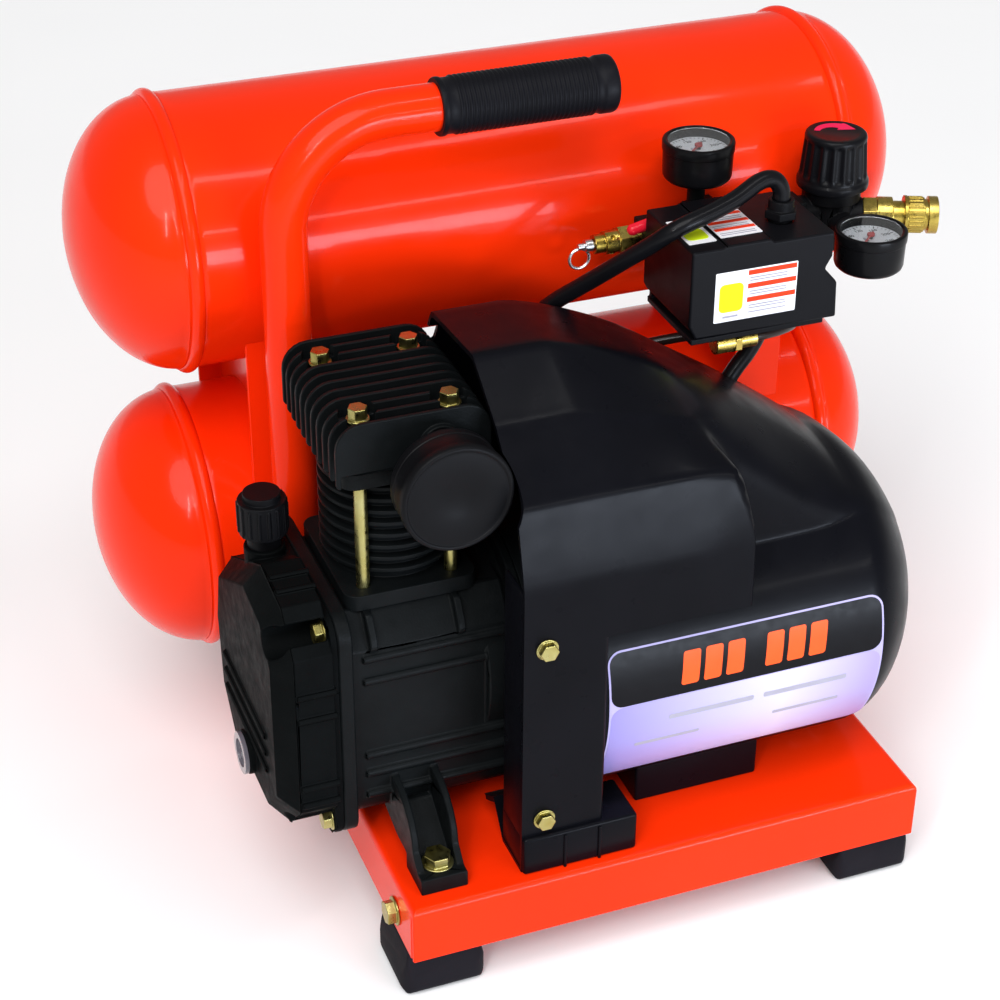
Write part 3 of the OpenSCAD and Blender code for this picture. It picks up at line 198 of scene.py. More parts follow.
RED = (0.93, 0.028, 0.0015)
looks = {
    "red_paint": enamel("red_enamel", RED, 0.2, 0.12),
    "foot_rubber": moulded("foot_rubber", (0.009, 0.008, 0.011), 0.62, 0.25, 700),
    "zinc_bolts": metal("yellow_zinc", (0.36, 0.30, 0.075), (0.50, 0.46, 0.20), 0.30),
    "plated_steel": metal("plated_steel", (0.60, 0.60, 0.62), (0.72, 0.72, 0.72), 0.25),
    "grip_rubber": moulded("grip_rubber", (0.006, 0.006, 0.008), 0.42, 0.2, 1200),
    "black_casting": casting("black_casting", (0.0045, 0.0055, 0.0060)),
    # the cover's copy of the black casting: a rougher, less glossy finish, and a darker base colour that is
    # painted shade
    "dull_casting_painted_shade": casting("dull_casting_painted_shade", (0.0030, 0.0036, 0.0038), 0.5, 0.3, 0.02),
    "sight_window": moulded("sight_window", (0.11, 0.10, 0.12), 0.12, 0.02, 300, 0.8),
    "black_plastic": moulded("black_plastic", (0.0042, 0.0042, 0.0050), 0.42, 0.16),
    "machined_steel": metal("machined_steel", (0.52, 0.52, 0.54), (0.66, 0.66, 0.67), 0.24),
    "bare_aluminium": metal("bare_aluminium", (0.66, 0.67, 0.68), (0.76, 0.76, 0.77), 0.42, 0.2),
    "dark_iron": metal("dark_iron", (0.20, 0.20, 0.21), (0.30, 0.29, 0.28), 0.5, 0.25),
    "filter_paper": fibre("filter_paper", (0.70, 0.64, 0.48)),
    "copper_tube": metal("copper_tube", (0.72, 0.32, 0.18), (0.80, 0.45, 0.28), 0.25),
    "brass_fittings": metal("brass", (0.40, 0.28, 0.045), (0.54, 0.41, 0.11), 0.26, 0.12),
    "copper_wire": metal("copper_wire", (0.50, 0.16, 0.05), (0.66, 0.26, 0.10), 0.35, 0.5, (1, 6, 6)),
    "dark_plastic": moulded("dark_plastic", (0.035, 0.036, 0.04), 0.45),
    "shroud_plastic": moulded("shroud_plastic", (0.0030, 0.0031, 0.0046), 0.30, 0.04, 1500, 0.02, 0.055),
    "switch_plastic": moulded("switch_plastic", (0.0040, 0.0040, 0.0052), 0.40, 0.12),
    "red_plastic": moulded("red_plastic", (0.75, 0.01, 0.03), 0.25, 0.03, 600, 0.5),
    "lead_rubber": moulded("lead_rubber", (0.0035, 0.0035, 0.0045), 0.34, 0.03, 1500, 0.1),
    "tube_plastic": moulded("tube_plastic", (0.018, 0.010, 0.008), 0.3, 0.05, 900, 0.3),
    "knob_plastic": moulded("knob_plastic", (0.0042, 0.0042, 0.0052), 0.34, 0.08, 1200, 0.05),
    "gauge_black": moulded("gauge_black", (0.0036, 0.0036, 0.0042), 0.3, 0.06, 900, 0.05),
    "gauge_window": clear("gauge_window", (0.93, 0.95, 0.96)),
    "needle_red": enamel("needle_red", (0.55, 0.02, 0.02)),
}

# nodes that look different from the rest of their slot; the cover's duller copy of the casting has a darker
# base colour that is painted shade
node_looks = {"valve_plate": "black_casting", "crankcase_cover": "dull_casting_painted_shade"}


def look_for(node):
    return looks[node_looks.get(node, slot_of[node])]


for name, obj in nodes.items():
    if not obj.material_slots:
        obj.data.materials.append(look_for(name))
    for m in obj.material_slots:
        m.material = look_for(name)


# ---------- mesh helpers ----------

sharp_angle = 32


def mm(points):
    return [Vector(p) * MM for p in points]


def finished(name, mesh, node, replaces=(), sharp=sharp_angle):
    """Makes the piece: shaded, on the body of a CAD node, with the material of that node's slot."""
    mesh.validate()
    mesh.shade_smooth()
    mesh.set_sharp_from_angle(angle=math.radians(sharp))
    if not mesh.materials:
        mesh.materials.append(look_for(node))
    obj = bpy.data.objects.new(name, mesh)
    scene.collection.objects.link(obj)
    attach(obj, body_of[node])
    if replaces:
        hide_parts(*replaces)
    return obj


def mesh_of(name, verts, faces):
    mesh = bpy.data.meshes.new(name)
    mesh.from_pydata(verts, [], faces)
    bm = bmesh.new()
    bm.from_mesh(mesh)
    bmesh.ops.remove_doubles(bm, verts=bm.verts, dist=1e-6)
    bmesh.ops.recalc_face_normals(bm, faces=bm.faces)
    bm.to_mesh(mesh)
    bm.free()
    return mesh


def joined(name, parts):
    """One mesh from several (verts, faces) lists."""
    verts, faces = [], []
    for v, f in parts:
        faces += [[i + len(verts) for i in face] for face in f]
        verts += v
    return mesh_of(name, verts, faces)


def axes_for(axis):
    """Two directions across an axis."""
    axis = Vector(axis).normalized()
    side = Vector((0, 0, 1)) if abs(axis.z) < 0.9 else Vector((1, 0, 0))
    u = axis.cross(side).normalized()
    return axis, u, axis.cross(u)


def lathe(profile, origin, axis, sides=96, wave=None):
    """Turns (along, radius) points round an axis. A radius of 0 is a closed tip."""
    axis, u, w = axes_for(axis)
    origin = Vector(origin)
    verts, rings, faces = [], [], []
    for along, radius in profile:
        centre = origin + axis * along
        if radius <= 0:
            rings.append([len(verts)])
            verts.append(centre * MM)
            continue
        ring = []
        for k in range(sides):
            a = 2 * math.pi * k / sides
            r = radius - (wave(along, a) if wave else 0)
            ring.append(len(verts))
            verts.append((centre + u * (r * math.cos(a)) + w * (r * math.sin(a))) * MM)
        rings.append(ring)
    for a, b in zip(rings, rings[1:]):
        for k in range(sides):
            j = (k + 1) % sides
            if len(a) == 1 and len(b) > 1:
                faces.append((a[0], b[k], b[j]))
            elif len(b) == 1 and len(a) > 1:
                faces.append((a[k], a[j], b[0]))
            elif len(a) > 1:
                faces.append((a[k], a[j], b[j], b[k]))
    return verts, faces


def closed_lathe(profile, origin, axis, sides=96):
    """A lathe whose profile is a loop, such as a ring or a sleeve."""
    return lathe(profile + profile[:1], origin, axis, sides)


def spline(points, steps):
    """Points on a smooth curve through the given ones."""
    p = [Vector(v) for v in points]
    p = [p[0] * 2 - p[1]] + p + [p[-1] * 2 - p[-2]]
    out = []
    for i in range(1, len(p) - 2):
        for s in range(steps):
            t = s / steps
            a, b, c, d = p[i - 1:i + 3]
            out.append(0.5 * (2 * b + (c - a) * t + (2 * a - 5 * b + 4 * c - d) * t * t
                              + (3 * b - a - 3 * c + d) * t ** 3))
    return out + [p[-2]]


def sweep(points, radius, sides=20):
    """A tube along points, with flat closed ends."""
    verts, faces = [], []
    side = None
    for i, p in enumerate(points):
        ahead = points[min(i + 1, len(points) - 1)] - points[max(i - 1, 0)]
        ahead.normalize()
        if side is None:
            side = axes_for(ahead)[1]
        side = (side - ahead * side.dot(ahead)).normalized()
        other = ahead.cross(side)
        for k in range(sides):
            a = 2 * math.pi * k / sides
            verts.append((p + side * (radius * math.cos(a)) + other * (radius * math.sin(a))) * MM)
    for i in range(len(points) - 1):
        for k in range(sides):
            j = (k + 1) % sides
            faces.append((i * sides + k, i * sides + j, (i + 1) * sides + j, (i + 1) * sides + k))
    for end in (0, len(points) - 1):
        verts.append(points[end] * MM)
        for k in range(sides):
            faces.append((len(verts) - 1, end * sides + k, end * sides + (k + 1) % sides))
    return verts, faces


def slab(low, high, radius, segments=3):
    """A block with rounded edges, as verts and faces."""
    bm = bmesh.new()
    bmesh.ops.create_cube(bm, size=1)
    low, high = Vector(low), Vector(high)
    for v in bm.verts:
        v.co = Vector([(low[i] + high[i]) / 2 + v.co[i] * (high[i] - low[i]) for i in range(3)]) * MM
    bmesh.ops.bevel(bm, geom=list(bm.edges), offset=radius * MM, segments=segments, profile=0.5,
                    affect="EDGES", clamp_overlap=True)
    bm.verts.index_update()
    out = [v.co.copy() for v in bm.verts], [[v.index for v in f.verts] for f in bm.faces]
    bm.free()
    return out


def softened(node, width, segments=2, angle=30, merge_flats=True):
    """A finer copy of a CAD node, with its sharp edges rounded."""
    source = nodes[node].data.copy()
    for layer in ("custom_normal", "sharp_edge", "sharp_face"):
        if layer in source.attributes:
            source.attributes.remove(source.attributes[layer])
    bm = bmesh.new()
    bm.from_mesh(source)
    bmesh.ops.remove_doubles(bm, verts=bm.verts, dist=4e-6)
    if merge_flats:
        bmesh.ops.dissolve_limit(bm, angle_limit=math.radians(0.4), verts=bm.verts, edges=bm.edges)
    mesh = bpy.data.meshes.new(node + "_soft")
    bm.to_mesh(mesh)
    bm.free()
    obj = finished("fine_" + node, mesh, node, replaces=[node], sharp=angle)
    bevel = obj.modifiers.new("soft", "BEVEL")
    bevel.width = width * MM
    bevel.segments = segments
    bevel.limit_method = "ANGLE"
    bevel.angle_limit = math.radians(angle)
    bevel.use_clamp_overlap = False
    bevel.miter_outer = "MITER_ARC"
    if merge_flats:
        bevel.harden_normals = True
    else:
        obj.modifiers.new("even", "WEIGHTED_NORMAL").keep_sharp = True
    return obj


def carved(obj, cutters):
    """Cuts closed meshes out of a piece, and leaves a plain mesh."""
    helpers = []
    for parts in cutters:
        helper = bpy.data.objects.new("cutter", joined("cutter", parts))
        scene.collection.objects.link(helper)
        helpers.append(helper)
        cut = obj.modifiers.new("cut", "BOOLEAN")
        cut.object = helper
        cut.solver = "EXACT"
    bpy.context.view_layer.update()
    mesh = bpy.data.meshes.new_from_object(obj.evaluated_get(bpy.context.evaluated_depsgraph_get()))
    obj.modifiers.clear()
    obj.data = mesh
    for helper in helpers:
        bpy.data.objects.remove(helper)
    mesh.shade_smooth()
    mesh.set_sharp_from_angle(angle=math.radians(sharp_angle))
    return obj


def bar(a, b, radius, sides=48):
    """A plain round bar from a to b, for cutting."""
    a, b = Vector(a), Vector(b)
    length = (b - a).length
    return lathe([(0, 0), (0, radius), (length, radius), (length, 0)], a, b - a, sides)


# ---------- tanks ----------

tank_y, tank_r, bead_x, bead_r, bead_out, dome = 101, 76.2, 192, 4, 79, 54


def tank_profile():
    half = [(bead_x + dome * math.sin(math.radians(a)), tank_r * math.cos(math.radians(a)))
            for a in [3 * i for i in range(31)]]
    half = [p for p in half if p[0] > bead_x + bead_r - 0.6]
    half[-1] = (bead_x + dome, 0)
    bead = [(bead_x - bead_r - 3, tank_r), (bead_x - bead_r - 1.2, tank_r + 0.25)]
    bead += [(bead_x + bead_r * math.cos(math.radians(a)),
              bead_out - bead_r + bead_r * math.sin(math.radians(a))) for a in range(165, 14, -15)]
    right = [(bead_x - 40, tank_r)] + bead + [(bead_x + bead_r + 1, tank_r + 0.1)] + half
    return [(-x, r) for x, r in reversed(right)] + [(0, tank_r)] + right


for label, z in (("lower", 156.5), ("upper", 340)):
    v, f = lathe(tank_profile(), (0, tank_y, z), (1, 0, 0), 160)
    finished(label + "_tank", mesh_of(label + "_tank", v, f), label + "_tank_barrel",
             replaces=[label + "_tank_barrel", label + "_tank_ends"], sharp=40)


# ---------- shroud ----------

# the barrel's axis and radius, and the plastic's thickness
axis_y, axis_z, barrel_r, wall = -76.0, 154.0, 90.0, 3.0
# along x: open left end, closed tip, start of the domed end, crest of the hump
x_left, x_tip, x_dome, x_hump = -83.0, 180.0, 126.0, -46.0
# the crest's height, and how fast the hump falls away from it
hump_top, hump_drop, hump_power = 187.0, 0.0706, 1.4
# the bulge's and pillar's front face, the pillar's right side and rounded corner
front_r, pillar_x, pillar_round = 94, -36.0, 2.2
# angles of the bulge's lower edge and of the pillar's foot
pad_low, foot_angle = 150.6, 233.6
# a distance that stands for no wall in this direction
far = 1e6


def clamp01(v):
    return min(max(v, 0.0), 1.0)


def ease(v, a, b):
    v = clamp01((v - a) / (b - a))
    return v * v * (3 - 2 * v)


def mix(a, b, t):
    return tuple(p + (q - p) * t for p, q in zip(a, b))


def fade(x, a, b, p):
    return (1 - clamp01((x - a) / (b - a)) ** p) ** (1 / p)


def sections(x):
    """Corners of the front bulge and of the hump behind it at x, as (across, up) from the shroud's axis."""
    grow = fade(x, x_hump, x_tip, 1.28) ** 0.74
    top = max(hump_top - hump_drop * max(x - x_hump, 0) ** hump_power, barrel_r)
    corner = 32 + 60 * grow
    back = [(-20, top), (42, top - 5 * grow), (72, corner + 0.42 * (top - corner)), (barrel_r, corner - 10),
            (barrel_r, -20)]
    shoulder = (-54, 162.8 - 0.6 * (hump_top - top))
    bulge = [(-front_r, -20), (-front_r, 90.5), (-83, 132.5), shoulder]
    hump = [(-66, -20), (-62, 65), mix((-66, 106), (-60, 74), ease(x, 44, 130)),
            mix(shoulder, (-46, 65 + 0.68 * (top - 65)), ease(x, 20, 110))]
    return bulge + back, hump + back


def wall_at(direction, a, b):
    """Distance from the axis, in a direction, to the line through a and b."""
    nx, ny = b[1] - a[1], a[0] - b[0]
    d, e = a[0] * nx + a[1] * ny, direction[0] * nx + direction[1] * ny
    if d < 0:
        d, e = -d, -e
    return d / e if e > 1e-6 else far


def inside(direction, corners, k):
    """Distance to the nearest wall of a section, with its corners rounded by about k."""
    walls = [wall_at(direction, p, q) for p, q in zip(corners, corners[1:])]
    low = min(walls)
    return low - k * math.log(sum(math.exp(-(w - low) / k) for w in walls if w < low + 60))


def outside(a, b, k):
    """The larger of two distances, blended where they are nearly equal."""
    return max(a, b) + max(k - abs(a - b), 0) ** 2 / (4 * k)


def skin(x, angle):
    """Distance from the axis to the skin: pillar, or bulge that sinks into the hump, over the barrel."""
    a = math.radians(angle)
    direction = (math.cos(a), math.sin(a))
    end = fade(x, x_dome, x_tip, 1.7)
    if angle > pad_low:
        if x > pillar_x + 0.01 or angle > foot_angle:
            return barrel_r * end
        past = clamp01((x - pillar_x + pillar_round) / pillar_round)
        round_off = pillar_round * (1 - math.sqrt(max(0.0, 1 - past ** 2)))
        face = (front_r - round_off) / abs(direction[0])
        under = 90 / abs(direction[1]) if direction[1] < -0.05 else far
        return min(face, under)
    bulge, hump = sections(x)
    lower = ease(angle, 104, 136)
    sunk = 50 * ease(x, 22 + 22 * lower, 68 - 12 * lower)
    front = inside(direction, bulge, 0.7 + 2.3 * ease(x, 10, 45)) - sunk
    rear = inside(direction, hump, 0.7 + 4.3 * ease(x, 10, 60))
    blend = 1 + 11 * ease(angle, 106, 116) * (1 - 0.7 * lower)
    return outside(outside(front, rear, blend), barrel_r, 1.5) * end


def columns(x):
    """Angles of the mesh columns, gathered at the section's corners."""
    bulge, hump = sections(x)
    t = ease(x, 34, 60)
    turns = [math.degrees(math.atan2(p[1], p[0])) * (1 - t) + math.degrees(math.atan2(q[1], q[0])) * t
             for p, q in zip(bulge, hump)]
    marks = [-12.5] + turns[7:0:-1] + [pad_low - 0.15, pad_low + 0.15, 180, 200, 223.6, 233.5, 233.9, 347.5]
    out = []
    for a, b in zip(marks, marks[1:]):
        out += [a + (b - a) * t for t in (0, 0.05, 0.12, 0.24, 0.38, 0.5, 0.62, 0.76, 0.88, 0.95)]
    return out


stations = [-83, -82, -79, -70, -60, -52, -46, -41, -38.2, -37.6, -37, -36.5, -36.15, -36, -35.95, -35]
stations += [-35 + 3.5 * i for i in range(1, 20)] + [34, 37, 40] + [42 + i for i in range(0, 18)]
stations += [62 + 4 * i for i in range(0, 17)]
stations += [x_dome + (x_tip - x_dome) * (1 - (1 - i / 22) ** 2) for i in range(1, 22)]


def shroud_shell():
    """Outer and inner skins, closed at the tip and joined at the open left rim."""
    verts, faces = [], []
    count = len(columns(0))
    for inset in (0, wall):
        for x in stations:
            xi = min(x, x_tip - inset - 0.3)
            for angle in columns(xi):
                r = skin(xi, angle) - inset
                a = math.radians(angle)
                verts.append(Vector((xi, axis_y + r * math.cos(a), axis_z + r * math.sin(a))) * MM)
    base = len(stations) * count
    tips = len(verts)
    verts += mm([(x_tip, axis_y, axis_z), (x_tip - wall, axis_y, axis_z)])
    for layer in (0, 1):
        for i in range(len(stations) - 1):
            for k in range(count):
                j = (k + 1) % count
                o = layer * base + i * count
                faces.append((o + k, o + j, o + count + j, o + count + k))
        last = layer * base + (len(stations) - 1) * count
        for k in range(count):
            faces.append((last + k, last + (k + 1) % count, tips + layer))
    for k in range(count):
        faces.append((k, (k + 1) % count, base + (k + 1) % count, base + k))
    return mesh_of("shroud_shell", verts, faces)


pump_y, pump_z = -69, 156
fan_slots = 12
shell = finished("shroud_shell", shroud_shell(), "shroud", replaces=["shroud"])
slots_cut = []
centre = Vector((0, axis_y, axis_z)) * MM
for i in range(fan_slots):
    turn = Matrix.Rotation(2 * math.pi * i / fan_slots, 4, "X")
    v, f = slab((140, -3, 22), (200, 3, 52), 1.4, 2)
    slots_cut.append(([turn @ p + centre for p in v], f))
carved(shell, [
    slots_cut,
    [slab((x_left - 3, axis_y - 40, 58), (140, axis_y + 40, 76), 2, 2),
     bar((-109.5, -179, 292.5), (-109.5, -114, 292.5), 30.5, 96),
     bar((-21, -8, 268), (-21, -8, 330), 7.5),
     bar((79.7, -41, 254.7), (100.3, -41, 279.3), 7.5)],
    [slab((x_left - 2, pump_y - 44, 280), (-77.5, pump_y + 49, 325), 1, 2)],
])
feet = [slab((x_left + 0.3, -173, 64), (-17, -140, 88), 1.8),
        slab((-2, -137, 64), (73, -110, 93), 1.6),
        slab((x_left + 0.4, -168, 66), (x_left + 3, -141, 241), 1.1)]
feet += [slab((x, -174.2, 64), (x + 1.8, -172.5, 86), 0.7) for x in (-60, -40)]
finished("shroud_feet", joined("shroud_feet", feet), "shroud", replaces=["shroud"])


# ---------- labels ----------

def paper(name, colour):
    s = Shader(name)
    s.set(Roughness=0.38, Specular_IOR_Level=0.10)
    s.base(s.noise(90, 4), [(0.3, tint(colour, 0.95)), (0.7, tint(colour, 1.02))])
    s.rough(s.noise(200, 3), 0.28, 0.38)
    s.bump(s.noise(900, 2), 0.04, 0.0002)
    return s.material


ink = {
    "white": paper("label_white", (0.86, 0.86, 0.90)),
    "lavender": paper("label_lavender", (0.42, 0.38, 0.66)),
    "black": paper("label_black", (0.0045, 0.0045, 0.0058)),
    "orange": paper("label_orange", (0.92, 0.10, 0.02)),
    "red": paper("label_red", (0.86, 0.045, 0.01)),
    "yellow": paper("label_yellow", (0.70, 0.90, 0.01)),
    "grey": paper("label_grey", (0.36, 0.35, 0.42)),
}


def label_fade(name):
    """The lower part of the big label: lavender at both ends and palest right of the middle."""
    s = Shader(name)
    s.set(Roughness=0.32, Specular_IOR_Level=0.25)
    place = s.add("ShaderNodeSeparateXYZ")
    s.link(s.coord, place.inputs[0])
    s.base(s.ramp(place.outputs[0], 0, 1, (-0.03, 0.125)),
           [(0.0, (0.27, 0.24, 0.56)), (0.3, (0.42, 0.39, 0.70)),
            (0.65, (0.60, 0.58, 0.80)), (1, (0.36, 0.30, 0.56))])
    s.bump(s.noise(900, 2), 0.04, 0.0002)
    return s.material


ink["fade"] = label_fade("label_fade")


def barrel_point(x, angle, r):
    a = math.radians(angle)
    return Vector((x, axis_y + r * math.cos(a), axis_z + r * math.sin(a))) * MM


def plane_label(origin, right, up):
    """Places label coordinates (mm) on a flat face."""
    origin, right, up = Vector(origin), Vector(right), Vector(up)
    out = right.cross(up).normalized()
    return lambda u, v, lift: (origin + right * u + up * v + out * lift) * MM


def wrapped(u, v, lift):
    """Places label coordinates on the barrel: u along x, v up round the barrel."""
    return barrel_point(u, 188 - math.degrees(v / barrel_r), barrel_r + lift)


def patch(put, u0, u1, v0, v1, lift, radius=0.0, shear=0.0, thick=0.3):
    """A thin raised patch with rounded corners, closed all round, as verts and faces."""
    n = max(2, int((v1 - v0) / 2.5))
    rows = sorted(set([v0 + (v1 - v0) * i / n for i in range(n + 1)]
                      + [v0 + radius * t for t in (0.04, 0.15, 0.3, 0.5, 0.75, 1)]
                      + [v1 - radius * t for t in (0.04, 0.15, 0.3, 0.5, 0.75, 1)]))
    across = 12
    verts, faces = [], []
    for level in (lift, lift - thick):
        for v in rows:
            d = max(0.0, radius - (v - v0), radius - (v1 - v))
            cut = radius - math.sqrt(max(0.0, radius ** 2 - d ** 2)) if radius else 0
            lean = shear * (v - v0)
            for k in range(across + 1):
                verts.append(put(u0 + cut + lean + (u1 - u0 - 2 * cut) * k / across, v, level))
    w, m = across + 1, len(rows)
    for level in (0, 1):
        for i in range(m - 1):
            for k in range(across):
                o = level * m * w + i * w + k
                faces.append((o, o + 1, o + w + 1, o + w))
    edge = list(range(w)) + [i * w + across for i in range(1, m)]
    edge += [(m - 1) * w + k for k in range(across - 1, -1, -1)] + [i * w for i in range(m - 2, 0, -1)]
    for a, b in zip(edge, edge[1:] + edge[:1]):
        faces.append((a, b, m * w + b, m * w + a))
    return verts, faces


def label_piece(name, node, groups):
    """Several patches of different inks as one piece."""
    mesh = joined(name, [p for p, _ in groups])
    order = list(dict.fromkeys(shade for _, shade in groups))
    slots = []
    for (_, f), shade in groups:
        slots += [order.index(shade)] * len(f)
    for shade in order:
        mesh.materials.append(ink[shade])
    for poly, index in zip(mesh.polygons, slots):
        poly.material_index = index
    return finished(name, mesh, node, sharp=40)


big = [(patch(wrapped, -33, 129, -47, 48, 0.45, 8), "lavender"),
       (patch(wrapped, -31.9, 127.9, 15.5, 46.9, 0.6, 7), "black"),
       (patch(wrapped, -31.9, 127.9, -45.9, 15, 0.6, 7), "fade")]
for u in (8, 21, 34, 57, 70, 83):
    big.append((patch(wrapped, u, u + 10, 21, 40, 0.75, 1.5, 0.12), "orange"))
for u0, u1, v0, v1 in ((2, 52, 0, 3.2), (58, 108, 0, 3.2), (-16, 22, -16, -13.6), (66, 106, -16, -13.6)):
    big.append((patch(wrapped, u0, u1, v0, v1, 0.75, 1), "grey"))
label_piece("barrel_label", "shroud", big)

front = plane_label((61, -74, 322), (1, 0, 0), (0, 0, 1))
box_front = [(patch(front, 0, 48, 0, 29, 0.3, 0.6), "white"),
             (patch(front, 2.5, 16.5, 5.5, 22, 0.42, 3), "yellow"),
             (patch(front, 5, 14, 2.2, 3.4, 0.42, 0.3), "grey")]
for v in (25.4, 17.6, 9.6):
    box_front.append((patch(front, 19, 47.4, v, v + 2.8, 0.42, 0.2), "red"))
for v in (23.4, 21.8, 15.4, 13.8, 7.2, 5.6, 3.2):
    box_front.append((patch(front, 20, 42, v, v + 0.7, 0.42, 0.2), "grey"))
label_piece("switch_front_label", "switch_cover", box_front)

low_top = plane_label((49.5, -64, 365), (1, 0, 0), (0, 1, 0))
high_top = plane_label((67.6, -64, 366), (1, 0, 0), (0, 1, 0))
box_top = [(patch(low_top, 0, 16, 0, 30, 0.3, 0.6), "white"),
           (patch(low_top, 1.5, 14, 4, 17, 0.42, 3), "yellow"),
           (patch(high_top, 0, 24.5, 0, 30, 0.3, 0.6), "white")]
for v in (25.5, 16, 7.5):
    box_top.append((patch(high_top, 0.6, 24.1, v, v + 3, 0.42, 0.2), "red"))
for v in (22.5, 20.4, 13, 11, 4, 2):
    box_top.append((patch(high_top, 1.5, 22, v, v + 0.7, 0.42, 0.2), "grey"))
label_piece("switch_top_label", "switch_cover", box_top)


# ---------- controls ----------

man_y, man_z, gauge_deep = 3, 340, 22
gauge_places = {"tank_gauge": (85, man_y, 392), "outlet_gauge": (167, -49, 348)}
number_curve = bpy.data.curves.new("number", "FONT")
number_curve.size = 3.4 * MM
number_curve.align_x = "CENTER"
number_curve.align_y = "CENTER"
number_curve.extrude = 0.06 * MM
number_curve.resolution_u = 4
number_obj = bpy.data.objects.new("number", number_curve)
scene.collection.objects.link(number_obj)


def number_mesh(text, place):
    number_curve.body = text
    bpy.context.view_layer.update()
    made = bpy.data.meshes.new_from_object(number_obj.evaluated_get(bpy.context.evaluated_depsgraph_get()))
    out = [v.co + Vector(place) * MM for v in made.vertices], [list(p.vertices) for p in made.polygons]
    bpy.data.meshes.remove(made)
    return out


def dial_patch(centre, turn, r0, r1, half, z):
    """A tick that points out from the dial's centre."""
    a = math.radians(turn)
    out, side = Vector((math.cos(a), math.sin(a), 0)), Vector((-math.sin(a), math.cos(a), 0))
    c = Vector(centre) + Vector((0, 0, z))
    corners = [c + out * r + side * s for r, s in ((r0, -half), (r1, -half), (r1, half), (r0, half))]
    verts = mm(corners + [p - Vector((0, 0, 0.12)) for p in corners])
    return verts, [(0, 1, 2, 3), (7, 6, 5, 4), (0, 4, 5, 1), (1, 5, 6, 2), (2, 6, 7, 3), (3, 7, 4, 0)]


case_profile = [(-gauge_deep, 0), (-gauge_deep, 13), (-gauge_deep + 0.2, 15.4), (-gauge_deep + 0.9, 17.2),
                (-gauge_deep + 2.2, 18.6), (-gauge_deep + 4, 19.2), (-9, 19.35), (-4.6, 19.5), (-4.2, 19.9),
                (-3.6, 20), (0.2, 20), (0.9, 19.8), (1.3, 19.3), (1.5, 18.6), (1.4, 18), (0.9, 17.5),
                (0.8, 17.1), (-6, 17.0), (-6, 0)]
cases = []
for name, place in gauge_places.items():
    cases.append(lathe(case_profile, place, (0, 0, 1), 96))
    cases.append(lathe([(-6.2, 0), (-6.2, 1.2), (-4.1, 1.2), (-4, 1.1), (-4, 0)], place, (0, 0, 1), 32))
    dial = [(lathe([(-6.05, 0), (-6.05, 16.95), (-5.5, 16.95), (-5.5, 1.3), (-5.9, 1.3), (-5.9, 0)],
                   place, (0, 0, 1), 96), "white")]
    for i in range(31):
        long_tick = i % 5 == 0
        dial.append((dial_patch(place, 235 - 9 * i, 13.2 if long_tick else 14.4, 15.8,
                                0.28 if long_tick else 0.14, -5.4), "black"))
    for i in range(7):
        a = math.radians(235 - 45 * i)
        spot = (place[0] + 10.6 * math.cos(a), place[1] + 10.6 * math.sin(a), place[2] - 5.45)
        dial.append((number_mesh(str(i * 40), spot), "black"))
    for i in range(9):
        dial.append((dial_patch(place, 226 - 9 * i, 2.8, 4.2, 0.3, -5.4), "grey"))
    label_piece(name + "_dial", "gauge_cases", dial)
cases.append(bar((170, -37, 335), (170, -6.5, 335), 4))
bpy.data.objects.remove(number_obj)
finished("gauge_cases_fine", joined("gauge_cases_fine", cases), "gauge_cases", replaces=["gauge_cases"])


def flutes(along, a):
    """Depth of the knob's flutes, with 18 round valleys between narrow lands."""
    if along < 20.4 or along > 42.6:
        return 0
    ends = ease(along, 20.4, 22.5) * (1 - ease(along, 40.6, 42.6))
    s = abs(math.sin(9 * a))
    return 1.25 * ends * (1 - s ** 3)


knob = [(22, 0), (22, 8.3), (14, 8.3), (14, 19.6), (14.3, 20.1), (15, 20.3), (17.4, 20.3),
        (18.2, 20.1), (19, 19.5), (20, 19.3)]
knob += [(20.4 + 22.2 * i / 22, 19.25 - 1.75 * i / 22) for i in range(23)]
knob += [(43.3 + 2 * math.sin(math.radians(a)), 15.4 + 2 * math.cos(math.radians(a))) for a in range(0, 91, 15)]
knob += [(45.3, 13), (45.1, 12.4), (45.1, 0)]
v, f = lathe(knob, (170, man_y, man_z), (0, 0, 1), 288, flutes)
finished("knob_fine", mesh_of("knob_fine", v, f), "regulator_knob", replaces=["regulator_knob"], sharp=40)


def curved_arrow(centre, z, thick):
    """A plain curved arrow for the knob's top."""
    steps = 12

    def arc(r, shrink):
        turns = [math.radians(150 - 100 * i / steps) for i in range(steps + 1)]
        return [((r - shrink * i) * math.cos(a), (r - shrink * i) * math.sin(a)) for i, a in enumerate(turns)]

    tip = [(9.9, 9.8), (11.6, -0.4), (1.8, 2.4)]
    ring = arc(12.4, 0.02) + tip + arc(9.2, 0.30)[::-1]
    n = len(ring)
    verts = [Vector((centre[0] + x, centre[1] + y, z + s)) * MM for s in (0, -thick) for x, y in ring]
    faces = [(i, i + 1, n - 2 - i, n - 1 - i) for i in range(steps)]
    faces.append(tuple(range(steps, steps + 5)))
    low = [tuple(n + k for k in reversed(face)) for face in faces]
    sides = [(i, (i + 1) % n, n + (i + 1) % n, n + i) for i in range(n)]
    return verts, faces + low + sides


mesh = joined("knob_arrow", [curved_arrow((170, man_y), man_z + 45.3, 0.4)])
mesh.materials.append(moulded("arrow_pink", (0.80, 0.015, 0.09), 0.3, 0.03, 600))
finished("knob_arrow", mesh, "regulator_knob")


# ---------- grip, leads and small round parts ----------

